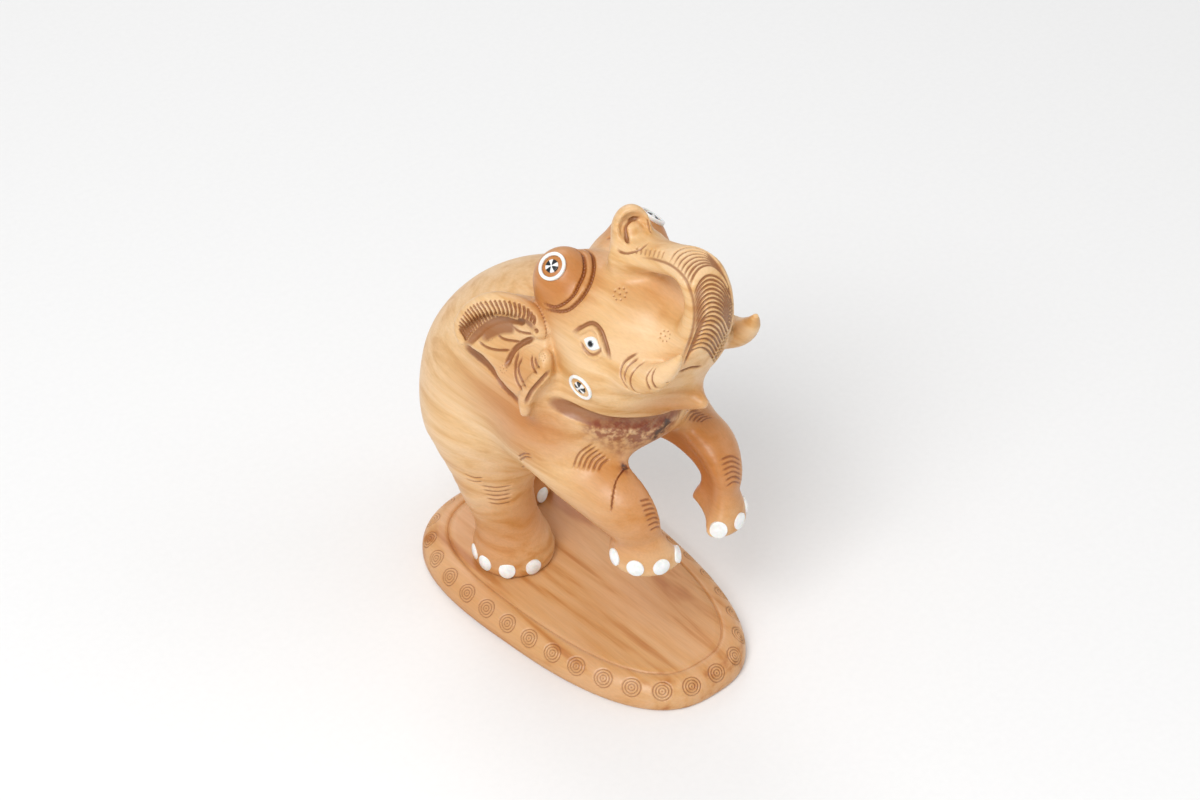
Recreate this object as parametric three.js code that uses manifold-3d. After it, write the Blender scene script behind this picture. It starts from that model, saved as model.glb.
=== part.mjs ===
// Carved wooden elephant striding on its hind legs with its trunk curled back, on an oval plinth.
// Millimetres, +Z up. The origin is the centre of the plinth's underside, and the elephant faces -Y.
import * as THREE from 'three';
import { mergeVertices } from 'three/addons/utils/BufferGeometryUtils.js';
import Module from 'manifold-3d';

// Plinth
const plinthLength = 134;
const plinthWidth = 77;
const plinthThickness = 9.5;
const plinthBevel = 7;
const plinthTaper = 0.15;
const plinthSquareness = 2.7;
const lineDepth = 0.7;
const lineWidth = 1.2;

// Figure: its own form is kept as shares of this height, measured from its soles
const figureHeight = 170;
const glueGap = 0.3;

// Inlays, each in a pocket of its own
const nailRadius = 2.9;
const nailThickness = 1.6;
const nailHeight = 3.6;
const eyeLength = 6.4;
const eyeHeight = 4;
const eyeThickness = 2.2;
const pupilRadius = 1.1;
const pupilThickness = 1;
const ringRadius = 4.8;
const ringWidth = 1.1;
const ringThickness = 1.4;
const petalRadius = 2.2;
const inlayGap = 0.3;
const inlayProud = 0.4;

// Fineness of the faceted skin
const cell = figureHeight / 31;
const gridRoom = 1.6;
const soleRoom = 1.4;
const roundSides = 8;
const plinthSides = 40;
const shoulderSteps = 3;

const unit = figureHeight / 170;
const soleHeight = plinthThickness + glueGap;

// Masses of the body: centre, radii, lean about X in degrees and the softness of the blend
const masses = [
  { at: [0, 35.5, 74], r: [34.9, 31, 35], lean: 22, blend: 1 },
  { at: [0, 8, 92.5], r: [34, 37, 32], lean: -12, blend: 16 },
  { at: [0, 11, 73], r: [28, 29, 25], lean: 0, blend: 12 },
  { at: [0, -14, 96.5], r: [29, 25, 29], lean: 0, blend: 12 },
];
const chestHollow = { at: [0, -31, 62], r: [17, 27, 18.5], lean: 0, blend: 7 };
const headMasses = [
  { at: [0, -22.5, 123], r: [26.5, 25.5, 23.5], lean: 0, blend: 1 },
  { at: [0, -39, 131], r: [16, 16.5, 14], lean: 0, blend: 12 },
];
const cheek = { at: [-12, -28.5, 114.5], r: [12.5, 14, 12.5], lean: 0, blend: 10 };
const crown = { at: [-11.5, -9, 133.5], r: [13, 14, 12.5], lean: 0, blend: 9 };
const dome = { at: [-15.1, -7.2, 138.4], r: [10, 10.5, 11.5] };
const domeFacing = [-0.59, -0.08, 0.8];
const headBlend = 7;

// Limbs as chains of round sections: x, y, z and radius
const hindRight = [
  [-17.5, 34, 58, 18],
  [-17.5, 29, 36, 13.3],
  [-15, 27, 20, 11.2],
  [-13.3, 26, 9, 12.6],
  [-12.8, 25.5, 3, 14.6],
];
const hindLeft = [
  [16, 42, 57.5, 18],
  [15, 48, 36, 13.3],
  [11, 51, 20, 11],
  [9.8, 51.5, 9, 11.8],
  [9.5, 51.5, 3, 12.8],
];
const frontRight = [
  [-19, -6, 80, 15.5],
  [-21, -18, 74.5, 12.2],
  [-20.8, -28.5, 71.2, 10.6],
  [-19.2, -37.3, 69.6, 11],
  [-17.2, -43.2, 65.5, 10.2],
  [-15.4, -45, 59.5, 9.5],
  [-14.6, -46, 54, 10.8],
  [-14.3, -46.2, 50.5, 12.1],
];
const limbBlend = 9;
const hindBlend = 14;
const frontSole = 48.8;
const jaw = [
  [0, -34, 109.5, 12],
  [0, -44, 110, 7.2],
  [0, -50.5, 110.5, 4.4],
  [0, -56, 111, 2],
];
const trunk = [
  [0, -43, 125, 9],
  [0, -51, 132.5, 7.4],
  [0, -56, 140.5, 6.3],
  [0, -57.6, 148.5, 5.6],
  [0, -57, 155, 5.1],
  [0, -53.5, 160, 4.8],
  [0, -47.5, 160.8, 4.4],
  [0, -40, 158.2, 4.2],
  [0, -32, 155.4, 4.6],
  [0, -24, 152.8, 6.2],
];
const trunkSpread = 0.6;
const knob = { at: [0, -21.5, 158.6], r: [6.6, 6.6, 9.4] };
const knobFacing = [-0.3, -0.66, 0.6];
const knobCup = 5.6;
const knobLump = 3.6;
const tusk = [
  [-15, -33.8, 118.5, 7.5],
  [-17.5, -43.3, 123.6, 6.3],
  [-18, -52.7, 128.3, 4.6],
  [-17, -59.3, 135.3, 2.8],
  [-15.6, -62.6, 141.6, 1],
];

// Ear: outline in its own plane, u to the rear and v downwards from the root
const earRoot = [-27, -9, 123.5];
const earRear = [-37, 21, 114.5];
const earTip = [-35, -14, 103.5];
const earThickness = 7;
const earFace = 1;
const earOutline = [
  [-3, -3], [2, -9.5], [12, -12.3], [22, -11], [29.5, -6], [32, 0], [29, 5], [22, 8.2],
  [16.5, 13.5], [11.9, 18], [7, 21], [5.4, 26], [2, 21], [-3, 15], [-5, 9],
];
const earRim = [
  [-1.5, -2, 2.2, 2.6],
  [1, -6.5, 2.6, 3.5],
  [7, -9, 2.8, 3.9],
  [14.5, -9.6, 2.8, 4],
  [21, -8.2, 2.6, 3.8],
  [26.5, -5, 2.2, 3.4],
  [30, -0.8, 1.6, 2.8],
  [29.8, 3.4, 1.2, 2],
];
const earFold = [
  [-3.5, 6, 2.2, 2.4],
  [-3, 11, 2.4, 2.8],
  [1.5, 15.5, 2.4, 2.8],
  [4.4, 20, 2, 2.5],
  [5.2, 24.6, 1.4, 1.6],
];
const pleats = 14;
const pleatDepth = 0.16;

// Carved grooves
const grooveWidth = 1.1;
const grooveDepth = 0.9;
const trunkGrooves = 8;
const trunkGrooveSpan = [0.14, 0.66]; // first and last, as shares of the trunk's length
const trunkGrooveArch = 2.6;
const trunkGrooveReach = 1.6;
const collarSides = 16;
const collarDrop = -2.4;
const collarRadius = 11.4;
const tuskRings = [2 / 12, 4 / 12];
const hockGrooves = [36, 40, 44];
const rightHockSpan = [178, 236];
const leftHockSpan = [2, -56];

// Points inside the head, straight inwards of the right cheek's medallion and the right eye
const cheekInside = [-14, -28.3, 114.3];
const eyeInside = [-12, -30.4, 131.5];
const outwards = [-1, 0, 0];

// Nails round each foot, in degrees from +X
const hindNails = [157, -174, -138, -100];
const frontNails = [168, -148, -105, -62];

const woodTone = 0xcf9a5b;
const whiteTone = 0xe9eced;
const blackTone = 0x1b1c1f;

const wasm = await Module();
wasm.setup();

// A point of the figure in the part's frame.
function place(p) {
  return new THREE.Vector3(p[0] * unit, p[1] * unit, p[2] * unit + soleHeight);
}

function mirrored(p) {
  return [-p[0], ...p.slice(1)];
}

// A closed geometry as a solid.
function solid(geometry) {
  const bare = new THREE.BufferGeometry();
  bare.setAttribute('position', geometry.getAttribute('position').clone());
  if (geometry.index) {
    bare.setIndex(geometry.index.clone());
  }
  const merged = mergeVertices(bare, 1e-4);
  return new wasm.Manifold(new wasm.Mesh({
    numProp: 3,
    vertProperties: new Float32Array(merged.attributes.position.array),
    triVerts: new Uint32Array(merged.index.array),
  }));
}

function geometryOf(shape) {
  const mesh = shape.getMesh();
  const geometry = new THREE.BufferGeometry();
  const points = [];
  for (let i = 0; i < mesh.vertProperties.length; i += mesh.numProp) {
    points.push(mesh.vertProperties[i], mesh.vertProperties[i + 1], mesh.vertProperties[i + 2]);
  }
  geometry.setAttribute('position', new THREE.Float32BufferAttribute(points, 3));
  geometry.setIndex(Array.from(mesh.triVerts));
  geometry.computeVertexNormals();
  return geometry;
}

// A closed tube through rings of points, with a fan at each end.
function skin(rings) {
  const sides = rings[0].length;
  const points = rings.flat();
  const faces = [];
  for (let i = 0; i + 1 < rings.length; i += 1) {
    for (let k = 0; k < sides; k += 1) {
      const a = i * sides + k;
      const b = i * sides + ((k + 1) % sides);
      faces.push(a, b, b + sides, a, b + sides, a + sides);
    }
  }
  const middle = (ring) => ring.reduce((sum, p) => sum.add(p), new THREE.Vector3()).divideScalar(sides);
  const first = points.length;
  points.push(middle(rings[0]), middle(rings[rings.length - 1]));
  const last = (rings.length - 1) * sides;
  for (let k = 0; k < sides; k += 1) {
    const next = (k + 1) % sides;
    faces.push(first, next, k, first + 1, last + k, last + next);
  }
  const geometry = new THREE.BufferGeometry().setFromPoints(points);
  geometry.setIndex(faces);
  return geometry;
}

// A tube along a curve. section(t) gives half widths along the side axis and across it.
function sweep(path, section, sides, steps, side) {
  const rings = [];
  for (let i = 0; i <= steps; i += 1) {
    const t = i / steps;
    const centre = path.getPoint(t);
    const along = path.getTangent(t);
    const across = new THREE.Vector3().crossVectors(along, side).normalize();
    const sideways = new THREE.Vector3().crossVectors(across, along).normalize();
    const [half, deep] = section(t);
    const ring = [];
    for (let k = 0; k < sides; k += 1) {
      const angle = (2 * Math.PI * k) / sides;
      ring.push(centre.clone()
        .addScaledVector(sideways, half * Math.cos(angle))
        .addScaledVector(across, deep * Math.sin(angle)));
    }
    rings.push(ring);
  }
  return facingOut(skin(rings));
}

// The same mesh with its faces turned to point outwards.
function facingOut(geometry) {
  const p = geometry.getAttribute('position');
  const index = geometry.index.array;
  const corner = (i) => new THREE.Vector3().fromBufferAttribute(p, i);
  let volume = 0;
  for (let i = 0; i < index.length; i += 3) {
    const [a, b, c] = [corner(index[i]), corner(index[i + 1]), corner(index[i + 2])];
    volume += a.dot(b.cross(c));
  }
  if (volume < 0) {
    for (let i = 0; i < index.length; i += 3) {
      [index[i + 1], index[i + 2]] = [index[i + 2], index[i + 1]];
    }
  }
  return geometry;
}

function joinAll(shapes) {
  return shapes.reduce((sum, shape) => sum.add(shape));
}

// Signed distances, in the figure's own units
function softMin(a, b, k) {
  const h = Math.max(k - Math.abs(a - b), 0) / k;
  return Math.min(a, b) - h * h * k * 0.25;
}

function massDistance(x, y, z, mass) {
  const lean = THREE.MathUtils.degToRad(mass.lean);
  const [dy, dz] = [y - mass.at[1], z - mass.at[2]];
  const q = [
    (x - mass.at[0]) / mass.r[0],
    (dy * Math.cos(lean) + dz * Math.sin(lean)) / mass.r[1],
    (dz * Math.cos(lean) - dy * Math.sin(lean)) / mass.r[2],
  ];
  const near = Math.hypot(...q);
  const slope = Math.hypot(q[0] / mass.r[0], q[1] / mass.r[1], q[2] / mass.r[2]);
  return (near * (near - 1)) / Math.max(slope, 1e-9);
}

// A chain's knots, smoothed once so that the limb bends softly.
function smoothChain(chain) {
  const curve = new THREE.CatmullRomCurve3(chain.map((k) => new THREE.Vector3(...k)));
  const steps = (chain.length - 1) * 3;
  const knots = [];
  for (let i = 0; i <= steps; i += 1) {
    const at = (i / steps) * (chain.length - 1);
    const low = Math.min(Math.floor(at), chain.length - 2);
    const radius = THREE.MathUtils.lerp(chain[low][3], chain[low + 1][3], at - low);
    const p = curve.getPoint(i / steps);
    knots.push([p.x, p.y, p.z, radius]);
  }
  return knots;
}

function chainDistance(x, y, z, knots) {
  let best = Infinity;
  for (let i = 0; i + 1 < knots.length; i += 1) {
    const [a, b] = [knots[i], knots[i + 1]];
    const d = [b[0] - a[0], b[1] - a[1], b[2] - a[2]];
    const w = [x - a[0], y - a[1], z - a[2]];
    const size = d[0] * d[0] + d[1] * d[1] + d[2] * d[2];
    const t = THREE.MathUtils.clamp((w[0] * d[0] + w[1] * d[1] + w[2] * d[2]) / size, 0, 1);
    const gap = Math.hypot(w[0] - t * d[0], w[1] - t * d[1], w[2] - t * d[2]);
    best = Math.min(best, gap - THREE.MathUtils.lerp(a[3], b[3], t));
  }
  return best;
}

const [hindRightChain, hindLeftChain] = [hindRight, hindLeft].map(smoothChain);
const frontChain = smoothChain(frontRight);
const jawChain = smoothChain(jaw);
const trunkRoot = smoothChain(trunk.slice(0, 4).map((k) => [k[0] * trunkSpread, k[1], k[2], k[3]]));

// The figure's smooth main masses: body, legs, head, jaw and the root of the trunk.
function figureDistance(x, y, z) {
  const fold = -Math.abs(x);
  let body = massDistance(x, y, z, masses[0]);
  for (const mass of masses.slice(1)) {
    body = softMin(body, massDistance(x, y, z, mass), mass.blend);
  }
  for (const chain of [hindRightChain, hindLeftChain]) {
    body = softMin(body, Math.max(chainDistance(x, y, z, chain), -z), hindBlend);
  }
  body = softMin(body, Math.max(chainDistance(fold, y, z, frontChain), frontSole - z), limbBlend);
  body = -softMin(-body, massDistance(x, y, z, chestHollow), chestHollow.blend);
  const [skull, brow] = headMasses;
  let head = softMin(massDistance(x, y, z, skull), massDistance(x, y, z, brow), brow.blend);
  head = softMin(head, massDistance(fold, y, z, cheek), cheek.blend);
  head = softMin(head, massDistance(fold, y, z, crown), crown.blend);
  head = softMin(head, chainDistance(x, y, z, jawChain), headBlend);
  head = softMin(head, chainDistance(x * trunkSpread, y, z, trunkRoot), headBlend);
  return Math.max(softMin(body, head, headBlend), -z);
}

// A cell's edges run along axis a from the corner that lies s and t along the next two axes.
const unitSteps = [[1, 0, 0], [0, 1, 0], [0, 0, 1]];
const edgeIndex = (a, s, t) => a * 4 + s + 2 * t;

function edgeStart(a, s, t) {
  const corner = [0, 0, 0];
  corner[(a + 1) % 3] = s;
  corner[(a + 2) % 3] = t;
  return corner;
}

// The sheets in which the surface passes through a cell: each a list of [edge, crossing point].
function sheetsOf(value) {
  const owner = new Map();
  const points = new Map();
  for (let a = 0; a < 3; a += 1) {
    for (const [s, t] of [[0, 0], [1, 0], [0, 1], [1, 1]]) {
      const from = edgeStart(a, s, t);
      const to = from.map((v, b) => (a === b ? 1 : v));
      const [start, end] = [value(from), value(to)];
      if (start < 0 !== end < 0) {
        const edge = edgeIndex(a, s, t);
        owner.set(edge, edge);
        points.set(edge, from.map((v, b) => (a === b ? start / (start - end) : v)));
      }
    }
  }
  const root = (edge) => (owner.get(edge) === edge ? edge : root(owner.get(edge)));
  const join = (p, q) => owner.set(root(p), root(q));
  for (let a = 0; a < 3; a += 1) {
    const [b, c] = [(a + 1) % 3, (a + 2) % 3];
    for (let side = 0; side < 2; side += 1) {
      const corner = (u, v) => [0, 1, 2].map((axis) => (axis === a ? side : axis === b ? u : v));
      const alongB = (v) => edgeIndex(b, v, side);
      const alongC = (u) => edgeIndex(c, side, u);
      const cut = [alongB(0), alongB(1), alongC(0), alongC(1)].filter((edge) => owner.has(edge));
      if (cut.length === 2) {
        join(cut[0], cut[1]);
      } else if (cut.length === 4) {
        for (const [u, v] of [[0, 0], [1, 0], [0, 1], [1, 1]]) {
          if (value(corner(u, v)) < 0) {
            join(alongB(v), alongC(u));
          }
        }
      }
    }
  }
  const sheets = new Map();
  for (const edge of owner.keys()) {
    const key = root(edge);
    sheets.set(key, [...(sheets.get(key) ?? []), [edge, points.get(edge)]]);
  }
  return [...sheets.values()];
}

// A closed skin of a distance field: one vertex for each sheet of the surface in a cell, drawn onto it.
function fieldSkin(distance, low, high, step) {
  const n = low.map((v, i) => Math.ceil((high[i] - v) / step) + 1);
  const id = (i, j, k) => (i * n[1] + j) * n[2] + k;
  const field = new Float64Array(n[0] * n[1] * n[2]);
  for (let i = 0; i < n[0]; i += 1) {
    for (let j = 0; j < n[1]; j += 1) {
      for (let k = 0; k < n[2]; k += 1) {
        field[id(i, j, k)] = distance(low[0] + i * step, low[1] + j * step, low[2] + k * step);
      }
    }
  }
  const vertex = new Map();
  const points = [];
  for (let i = 0; i + 1 < n[0]; i += 1) {
    for (let j = 0; j + 1 < n[1]; j += 1) {
      for (let k = 0; k + 1 < n[2]; k += 1) {
        for (const sheet of sheetsOf((corner) => field[id(i + corner[0], j + corner[1], k + corner[2])])) {
          const mean = [i, j, k].map((v, a) => (
            v + sheet.reduce((sum, [, point]) => sum + point[a], 0) / sheet.length));
          sheet.forEach(([edge]) => vertex.set(id(i, j, k) * 12 + edge, points.length));
          points.push(drawn(distance, mean.map((v, a) => low[a] + v * step), step));
        }
      }
    }
  }
  const faces = [];
  for (let i = 1; i + 1 < n[0]; i += 1) {
    for (let j = 1; j + 1 < n[1]; j += 1) {
      for (let k = 1; k + 1 < n[2]; k += 1) {
        const here = field[id(i, j, k)] < 0;
        unitSteps.forEach((axis, a) => {
          if (here !== field[id(i + axis[0], j + axis[1], k + axis[2])] < 0) {
            const [b, c] = [unitSteps[(a + 1) % 3], unitSteps[(a + 2) % 3]];
            const at = (s, t) => vertex.get(edgeIndex(a, s, t) + 12 * id(
              i - s * b[0] - t * c[0], j - s * b[1] - t * c[1], k - s * b[2] - t * c[2]));
            const quad = [at(1, 1), at(0, 1), at(0, 0), at(1, 0)];
            const turn = here ? quad : quad.reverse();
            faces.push(turn[0], turn[1], turn[2], turn[0], turn[2], turn[3]);
          }
        });
      }
    }
  }
  const geometry = new THREE.BufferGeometry().setFromPoints(points.map((p) => place(p)));
  geometry.setIndex(faces);
  return facingOut(geometry);
}

// A vertex drawn onto the surface along the field's slope, by less than half a cell.
function drawn(distance, p, step) {
  const e = step / 20;
  const value = distance(...p);
  const slope = [0, 1, 2].map((a) => {
    const q = p.slice();
    q[a] += e;
    return (distance(...q) - value) / e;
  });
  const size = Math.max(slope[0] ** 2 + slope[1] ** 2 + slope[2] ** 2, 0.25);
  return p.map((v, a) => v - THREE.MathUtils.clamp((value * slope[a]) / size, -step / 3, step / 3));
}

// Ear frame
const earNormal = new THREE.Vector3();
const earU = new THREE.Vector3();
const earV = new THREE.Vector3();
earU.subVectors(place(earRear), place(earRoot)).normalize();
earNormal.crossVectors(new THREE.Vector3().subVectors(place(earTip), place(earRoot)), earU).normalize();
if (earNormal.x > 0) {
  earNormal.negate();
}
earV.crossVectors(earNormal, earU);

// A point of the right ear from its own plane: rearward, down and outward.
function earPoint(u, v, w) {
  return place(earRoot)
    .addScaledVector(earU, u * unit)
    .addScaledVector(earV, v * unit)
    .addScaledVector(earNormal, w * unit);
}

function earCurve(knots) {
  return new THREE.CatmullRomCurve3(knots.map((k) => earPoint(k[0], k[1], k[2])));
}

function knotRadius(knots, t) {
  const at = t * (knots.length - 1);
  const low = Math.min(Math.floor(at), knots.length - 2);
  return unit * THREE.MathUtils.lerp(knots[low][3], knots[low + 1][3], at - low);
}

// The right ear: a leaf-shaped plate, a rolled and pleated upper rim and a folded front edge.
function earSolid() {
  const outline = new THREE.Shape();
  outline.setFromPoints(earOutline.map((p) => new THREE.Vector2(p[0] * unit, p[1] * unit)));
  const plate = new THREE.ExtrudeGeometry(outline, {
    depth: earThickness * unit,
    bevelEnabled: false,
  });
  const frame = new THREE.Matrix4().makeBasis(earU, earV, earNormal);
  const corner = earPoint(0, 0, earFace - earThickness);
  frame.setPosition(corner);
  plate.applyMatrix4(frame);
  const ripple = (t) => 1 + pleatDepth * Math.cos(2 * Math.PI * pleats * t);
  const rim = sweep(earCurve(earRim), (t) => {
    const r = knotRadius(earRim, t) * ripple(t);
    return [r, r];
  }, 6, pleats * 2, earNormal);
  const foldEdge = sweep(earCurve(earFold), (t) => {
    const r = knotRadius(earFold, t);
    return [r, r];
  }, 6, 8, earNormal);
  return joinAll([solid(plate), solid(rim), solid(foldEdge)]);
}

// A thin bar along a line of points, sunk into the surface that the points lie on.
function groove(points, side) {
  const curve = new THREE.CatmullRomCurve3(points);
  const steps = 5;
  const size = (t) => {
    const fade = 0.35 + 0.65 * Math.sin(Math.PI * THREE.MathUtils.clamp(t, 0, 1));
    return [grooveWidth * 0.5 * unit * fade, grooveDepth * unit * fade];
  };
  return solid(sweep(curve, size, 4, steps, side));
}

// A point on the skin, found along a line from inside the figure outwards.
function onSkin(from, towards) {
  const way = new THREE.Vector3(...towards).normalize();
  let [inside, outside] = [0, 60];
  for (let i = 0; i < 24; i += 1) {
    const mid = (inside + outside) / 2;
    const p = new THREE.Vector3(...from).addScaledVector(way, mid);
    if (figureDistance(p.x, p.y, p.z) < 0) {
      inside = mid;
    } else {
      outside = mid;
    }
  }
  const p = new THREE.Vector3(...from).addScaledVector(way, inside);
  return place([p.x, p.y, p.z]);
}

function bothSides(shape) {
  return shape.add(shape.mirror([1, 0, 0]));
}

// Grooves that arch over the trunk's outer face.
function trunkGrooveSolids() {
  const shapes = [];
  const path = new THREE.CatmullRomCurve3(trunk.map((k) => new THREE.Vector3(k[0], k[1], k[2])));
  for (let i = 0; i < trunkGrooves; i += 1) {
    const t = THREE.MathUtils.lerp(...trunkGrooveSpan, i / (trunkGrooves - 1));
    const centre = path.getPoint(t);
    const along = path.getTangent(t);
    const out = new THREE.Vector3(0, -along.z, along.y);
    const points = [-56, -28, 0, 28, 56].map((degrees) => {
      const angle = THREE.MathUtils.degToRad(degrees);
      const from = centre.clone().addScaledVector(along, trunkGrooveArch * (Math.cos(angle) - 0.5));
      const aside = new THREE.Vector3(Math.sin(angle) * trunkGrooveReach, 0, 0);
      const way = out.clone().multiplyScalar(Math.cos(angle)).add(aside);
      return onSkin(from.toArray(), way.toArray());
    });
    shapes.push(groove(points, along));
  }
  return shapes;
}

// Short level grooves on a leg, round its outer side: heights and the span of angles from +X.
function legGrooves(chain, heights, from, to) {
  return heights.map((z) => {
    const points = [];
    for (let i = 0; i <= 4; i += 1) {
      const angle = THREE.MathUtils.degToRad(THREE.MathUtils.lerp(from, to, i / 4));
      const core = chain.reduce((a, b) => (Math.abs(a[2] - z) < Math.abs(b[2] - z) ? a : b));
      points.push(onSkin([core[0], core[1], z], [Math.cos(angle), Math.sin(angle), 0]));
    }
    return groove(points, new THREE.Vector3(0, 0, 1));
  });
}

// A ring groove where a ball-like mass leaves the head.
function collar(mass, axis, lift, size) {
  const way = new THREE.Vector3(...axis).normalize();
  const centre = new THREE.Vector3(...mass.at).addScaledVector(way, lift);
  const side = new THREE.Vector3(0, 1, 0).cross(way).normalize();
  const rise = new THREE.Vector3().crossVectors(way, side);
  const points = [];
  for (let k = 0; k < collarSides; k += 1) {
    const angle = (2 * Math.PI * k) / collarSides;
    const p = centre.clone()
      .addScaledVector(side, size * Math.cos(angle))
      .addScaledVector(rise, size * Math.sin(angle));
    points.push(place(p.toArray()));
  }
  return points;
}

function ball(mass, wide, tall) {
  const geometry = new THREE.SphereGeometry(1, wide, tall);
  geometry.scale(mass.r[0] * unit, mass.r[1] * unit, mass.r[2] * unit);
  const at = place(mass.at);
  geometry.translate(at.x, at.y, at.z);
  return solid(geometry);
}

// A closed ring with a diamond section.
function ringSolid(points, half) {
  const total = points.reduce((sum, p) => sum.add(p.clone()), new THREE.Vector3());
  const centre = total.divideScalar(points.length);
  const normal = new THREE.Vector3().crossVectors(
    points[0].clone().sub(centre), points[4].clone().sub(centre)).normalize();
  const vertices = [];
  points.forEach((p) => {
    const out = p.clone().sub(centre).normalize();
    vertices.push(p.clone().addScaledVector(out, half), p.clone().addScaledVector(normal, half));
    vertices.push(p.clone().addScaledVector(out, -half), p.clone().addScaledVector(normal, -half));
  });
  const faces = [];
  for (let i = 0; i < points.length; i += 1) {
    for (let k = 0; k < 4; k += 1) {
      const a = i * 4 + k;
      const b = i * 4 + ((k + 1) % 4);
      const [c, d] = [a, b].map((v) => (v + 4) % vertices.length);
      faces.push(a, b, d, a, d, c);
    }
  }
  const geometry = new THREE.BufferGeometry().setFromPoints(vertices);
  geometry.setIndex(faces);
  return solid(facingOut(geometry));
}

// A round disc whose axis points along a direction: its inner end lies deep inside its outer end.
function disc(centre, axis, radius, inner, outer, sides) {
  const geometry = new THREE.CylinderGeometry(radius, radius, outer - inner, sides);
  geometry.translate(0, (outer + inner) / 2, 0);
  geometry.applyQuaternion(new THREE.Quaternion().setFromUnitVectors(
    new THREE.Vector3(0, 1, 0), axis.clone().normalize()));
  geometry.translate(centre.x, centre.y, centre.z);
  return geometry;
}

// The skin's outward direction at a figure point given in the part's frame.
function skinNormal(point) {
  const p = [point.x / unit, point.y / unit, (point.z - soleHeight) / unit];
  const e = 1;
  const slope = [0, 1, 2].map((a) => {
    const [q, r] = [p.slice(), p.slice()];
    q[a] += e;
    r[a] -= e;
    return figureDistance(...q) - figureDistance(...r);
  });
  return new THREE.Vector3(...slope).normalize();
}

const pieces = [];
const pockets = [];

function addPiece(name, geometry, tone, rough) {
  pieces.push({ name, geometry, tone, rough });
}

// A disc inlay let into the skin, with its pocket.
function addDisc(name, centre, axis, radius, thickness, proud, tone) {
  addPiece(name, disc(centre, axis, radius, proud - thickness, proud, roundSides), tone, 0.35);
  const [floor, mouth] = [proud - thickness - inlayGap, proud + 3];
  pockets.push(solid(disc(centre, axis, radius + inlayGap, floor, mouth, roundSides)));
}

// Nails
function addNails(prefix, foot, angles, sole, flip) {
  angles.forEach((degrees, i) => {
    const angle = THREE.MathUtils.degToRad(flip ? 180 - degrees : degrees);
    const way = [Math.cos(angle), Math.sin(angle), 0];
    const height = sole + nailHeight / unit;
    const at = onSkin([foot[0], foot[1], height], way);
    addDisc(`${prefix}_nail_${i + 1}`, at, skinNormal(at), nailRadius, nailThickness, inlayProud, whiteTone);
  });
}

const foot = (chain) => chain[chain.length - 1];
addNails('hind_right', foot(hindRight), hindNails, 0, false);
addNails('hind_left', foot(hindLeft), hindNails, 0, true);
addNails('front_right', foot(frontRight), frontNails, frontSole, false);
addNails('front_left', mirrored(foot(frontRight)), frontNails, frontSole, true);

// Medallions: a white ring and a flower centre in one shared round pocket each
function addMedallion(name, at, axis) {
  const outer = new THREE.Shape().absarc(0, 0, ringRadius, 0, 2 * Math.PI);
  outer.holes.push(new THREE.Path().absarc(0, 0, ringRadius - ringWidth, 0, 2 * Math.PI, true));
  const make = (shape, proud, depth) => {
    const geometry = new THREE.ExtrudeGeometry(shape, { depth, bevelEnabled: false, curveSegments: 6 });
    geometry.translate(0, 0, proud - depth);
    geometry.applyQuaternion(new THREE.Quaternion().setFromUnitVectors(new THREE.Vector3(0, 0, 1), axis));
    geometry.translate(at.x, at.y, at.z);
    return geometry;
  };
  addPiece(`${name}_ring`, make(outer, inlayProud, ringThickness), whiteTone, 0.35);
  const trench = new THREE.Shape().absarc(0, 0, ringRadius + inlayGap, 0, 2 * Math.PI);
  const wall = ringRadius - ringWidth - inlayGap;
  trench.holes.push(new THREE.Path().absarc(0, 0, wall, 0, 2 * Math.PI, true));
  pockets.push(solid(make(trench, 2, 2 + ringThickness - inlayProud + inlayGap)));
  addDisc(`${name}_flower`, at, axis, petalRadius, ringThickness, inlayProud, blackTone);
}

const domeAxis = new THREE.Vector3(...domeFacing).normalize();
const domeTop = place(dome.at).add(new THREE.Vector3(
  domeAxis.x * dome.r[0] * unit, domeAxis.y * dome.r[1] * unit, domeAxis.z * dome.r[2] * unit));
const cheekSpot = onSkin(cheekInside, outwards);
const cheekAxis = skinNormal(cheekSpot);
const flipX = (v) => new THREE.Vector3(-v.x, v.y, v.z);
addMedallion('dome_right', domeTop, domeAxis);
addMedallion('dome_left', flipX(domeTop), flipX(domeAxis));
addMedallion('cheek_right', cheekSpot, cheekAxis);
addMedallion('cheek_left', flipX(cheekSpot), flipX(cheekAxis));

// Eyes: an almond white with a round pupil let into it
const eyeSpot = onSkin(eyeInside, outwards);
const eyeAxis = skinNormal(eyeSpot);

function almond(long, high, inner, outer) {
  const geometry = new THREE.CylinderGeometry(1, 1, outer - inner, roundSides);
  geometry.rotateX(Math.PI / 2);
  geometry.scale(high, long, 1);
  geometry.translate(0, 0, (outer + inner) / 2);
  const basis = new THREE.Matrix4();
  const across = new THREE.Vector3(0, 1, 0).addScaledVector(eyeAxis, -eyeAxis.y).normalize();
  const up = new THREE.Vector3().crossVectors(across, eyeAxis);
  basis.makeBasis(up, across, eyeAxis).setPosition(eyeSpot);
  geometry.applyMatrix4(basis);
  return geometry;
}

function eyePieces() {
  const face = inlayProud + eyeThickness * 0.2;
  const white = solid(almond(eyeLength / 2, eyeHeight / 2, face - eyeThickness, face));
  const pitFloor = face - pupilThickness - inlayGap;
  const pit = solid(disc(eyeSpot, eyeAxis, pupilRadius + inlayGap, pitFloor, face + 2, roundSides));
  const pupil = solid(disc(eyeSpot, eyeAxis, pupilRadius, face - pupilThickness, face, roundSides));
  return [white.subtract(pit), pupil];
}

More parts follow.
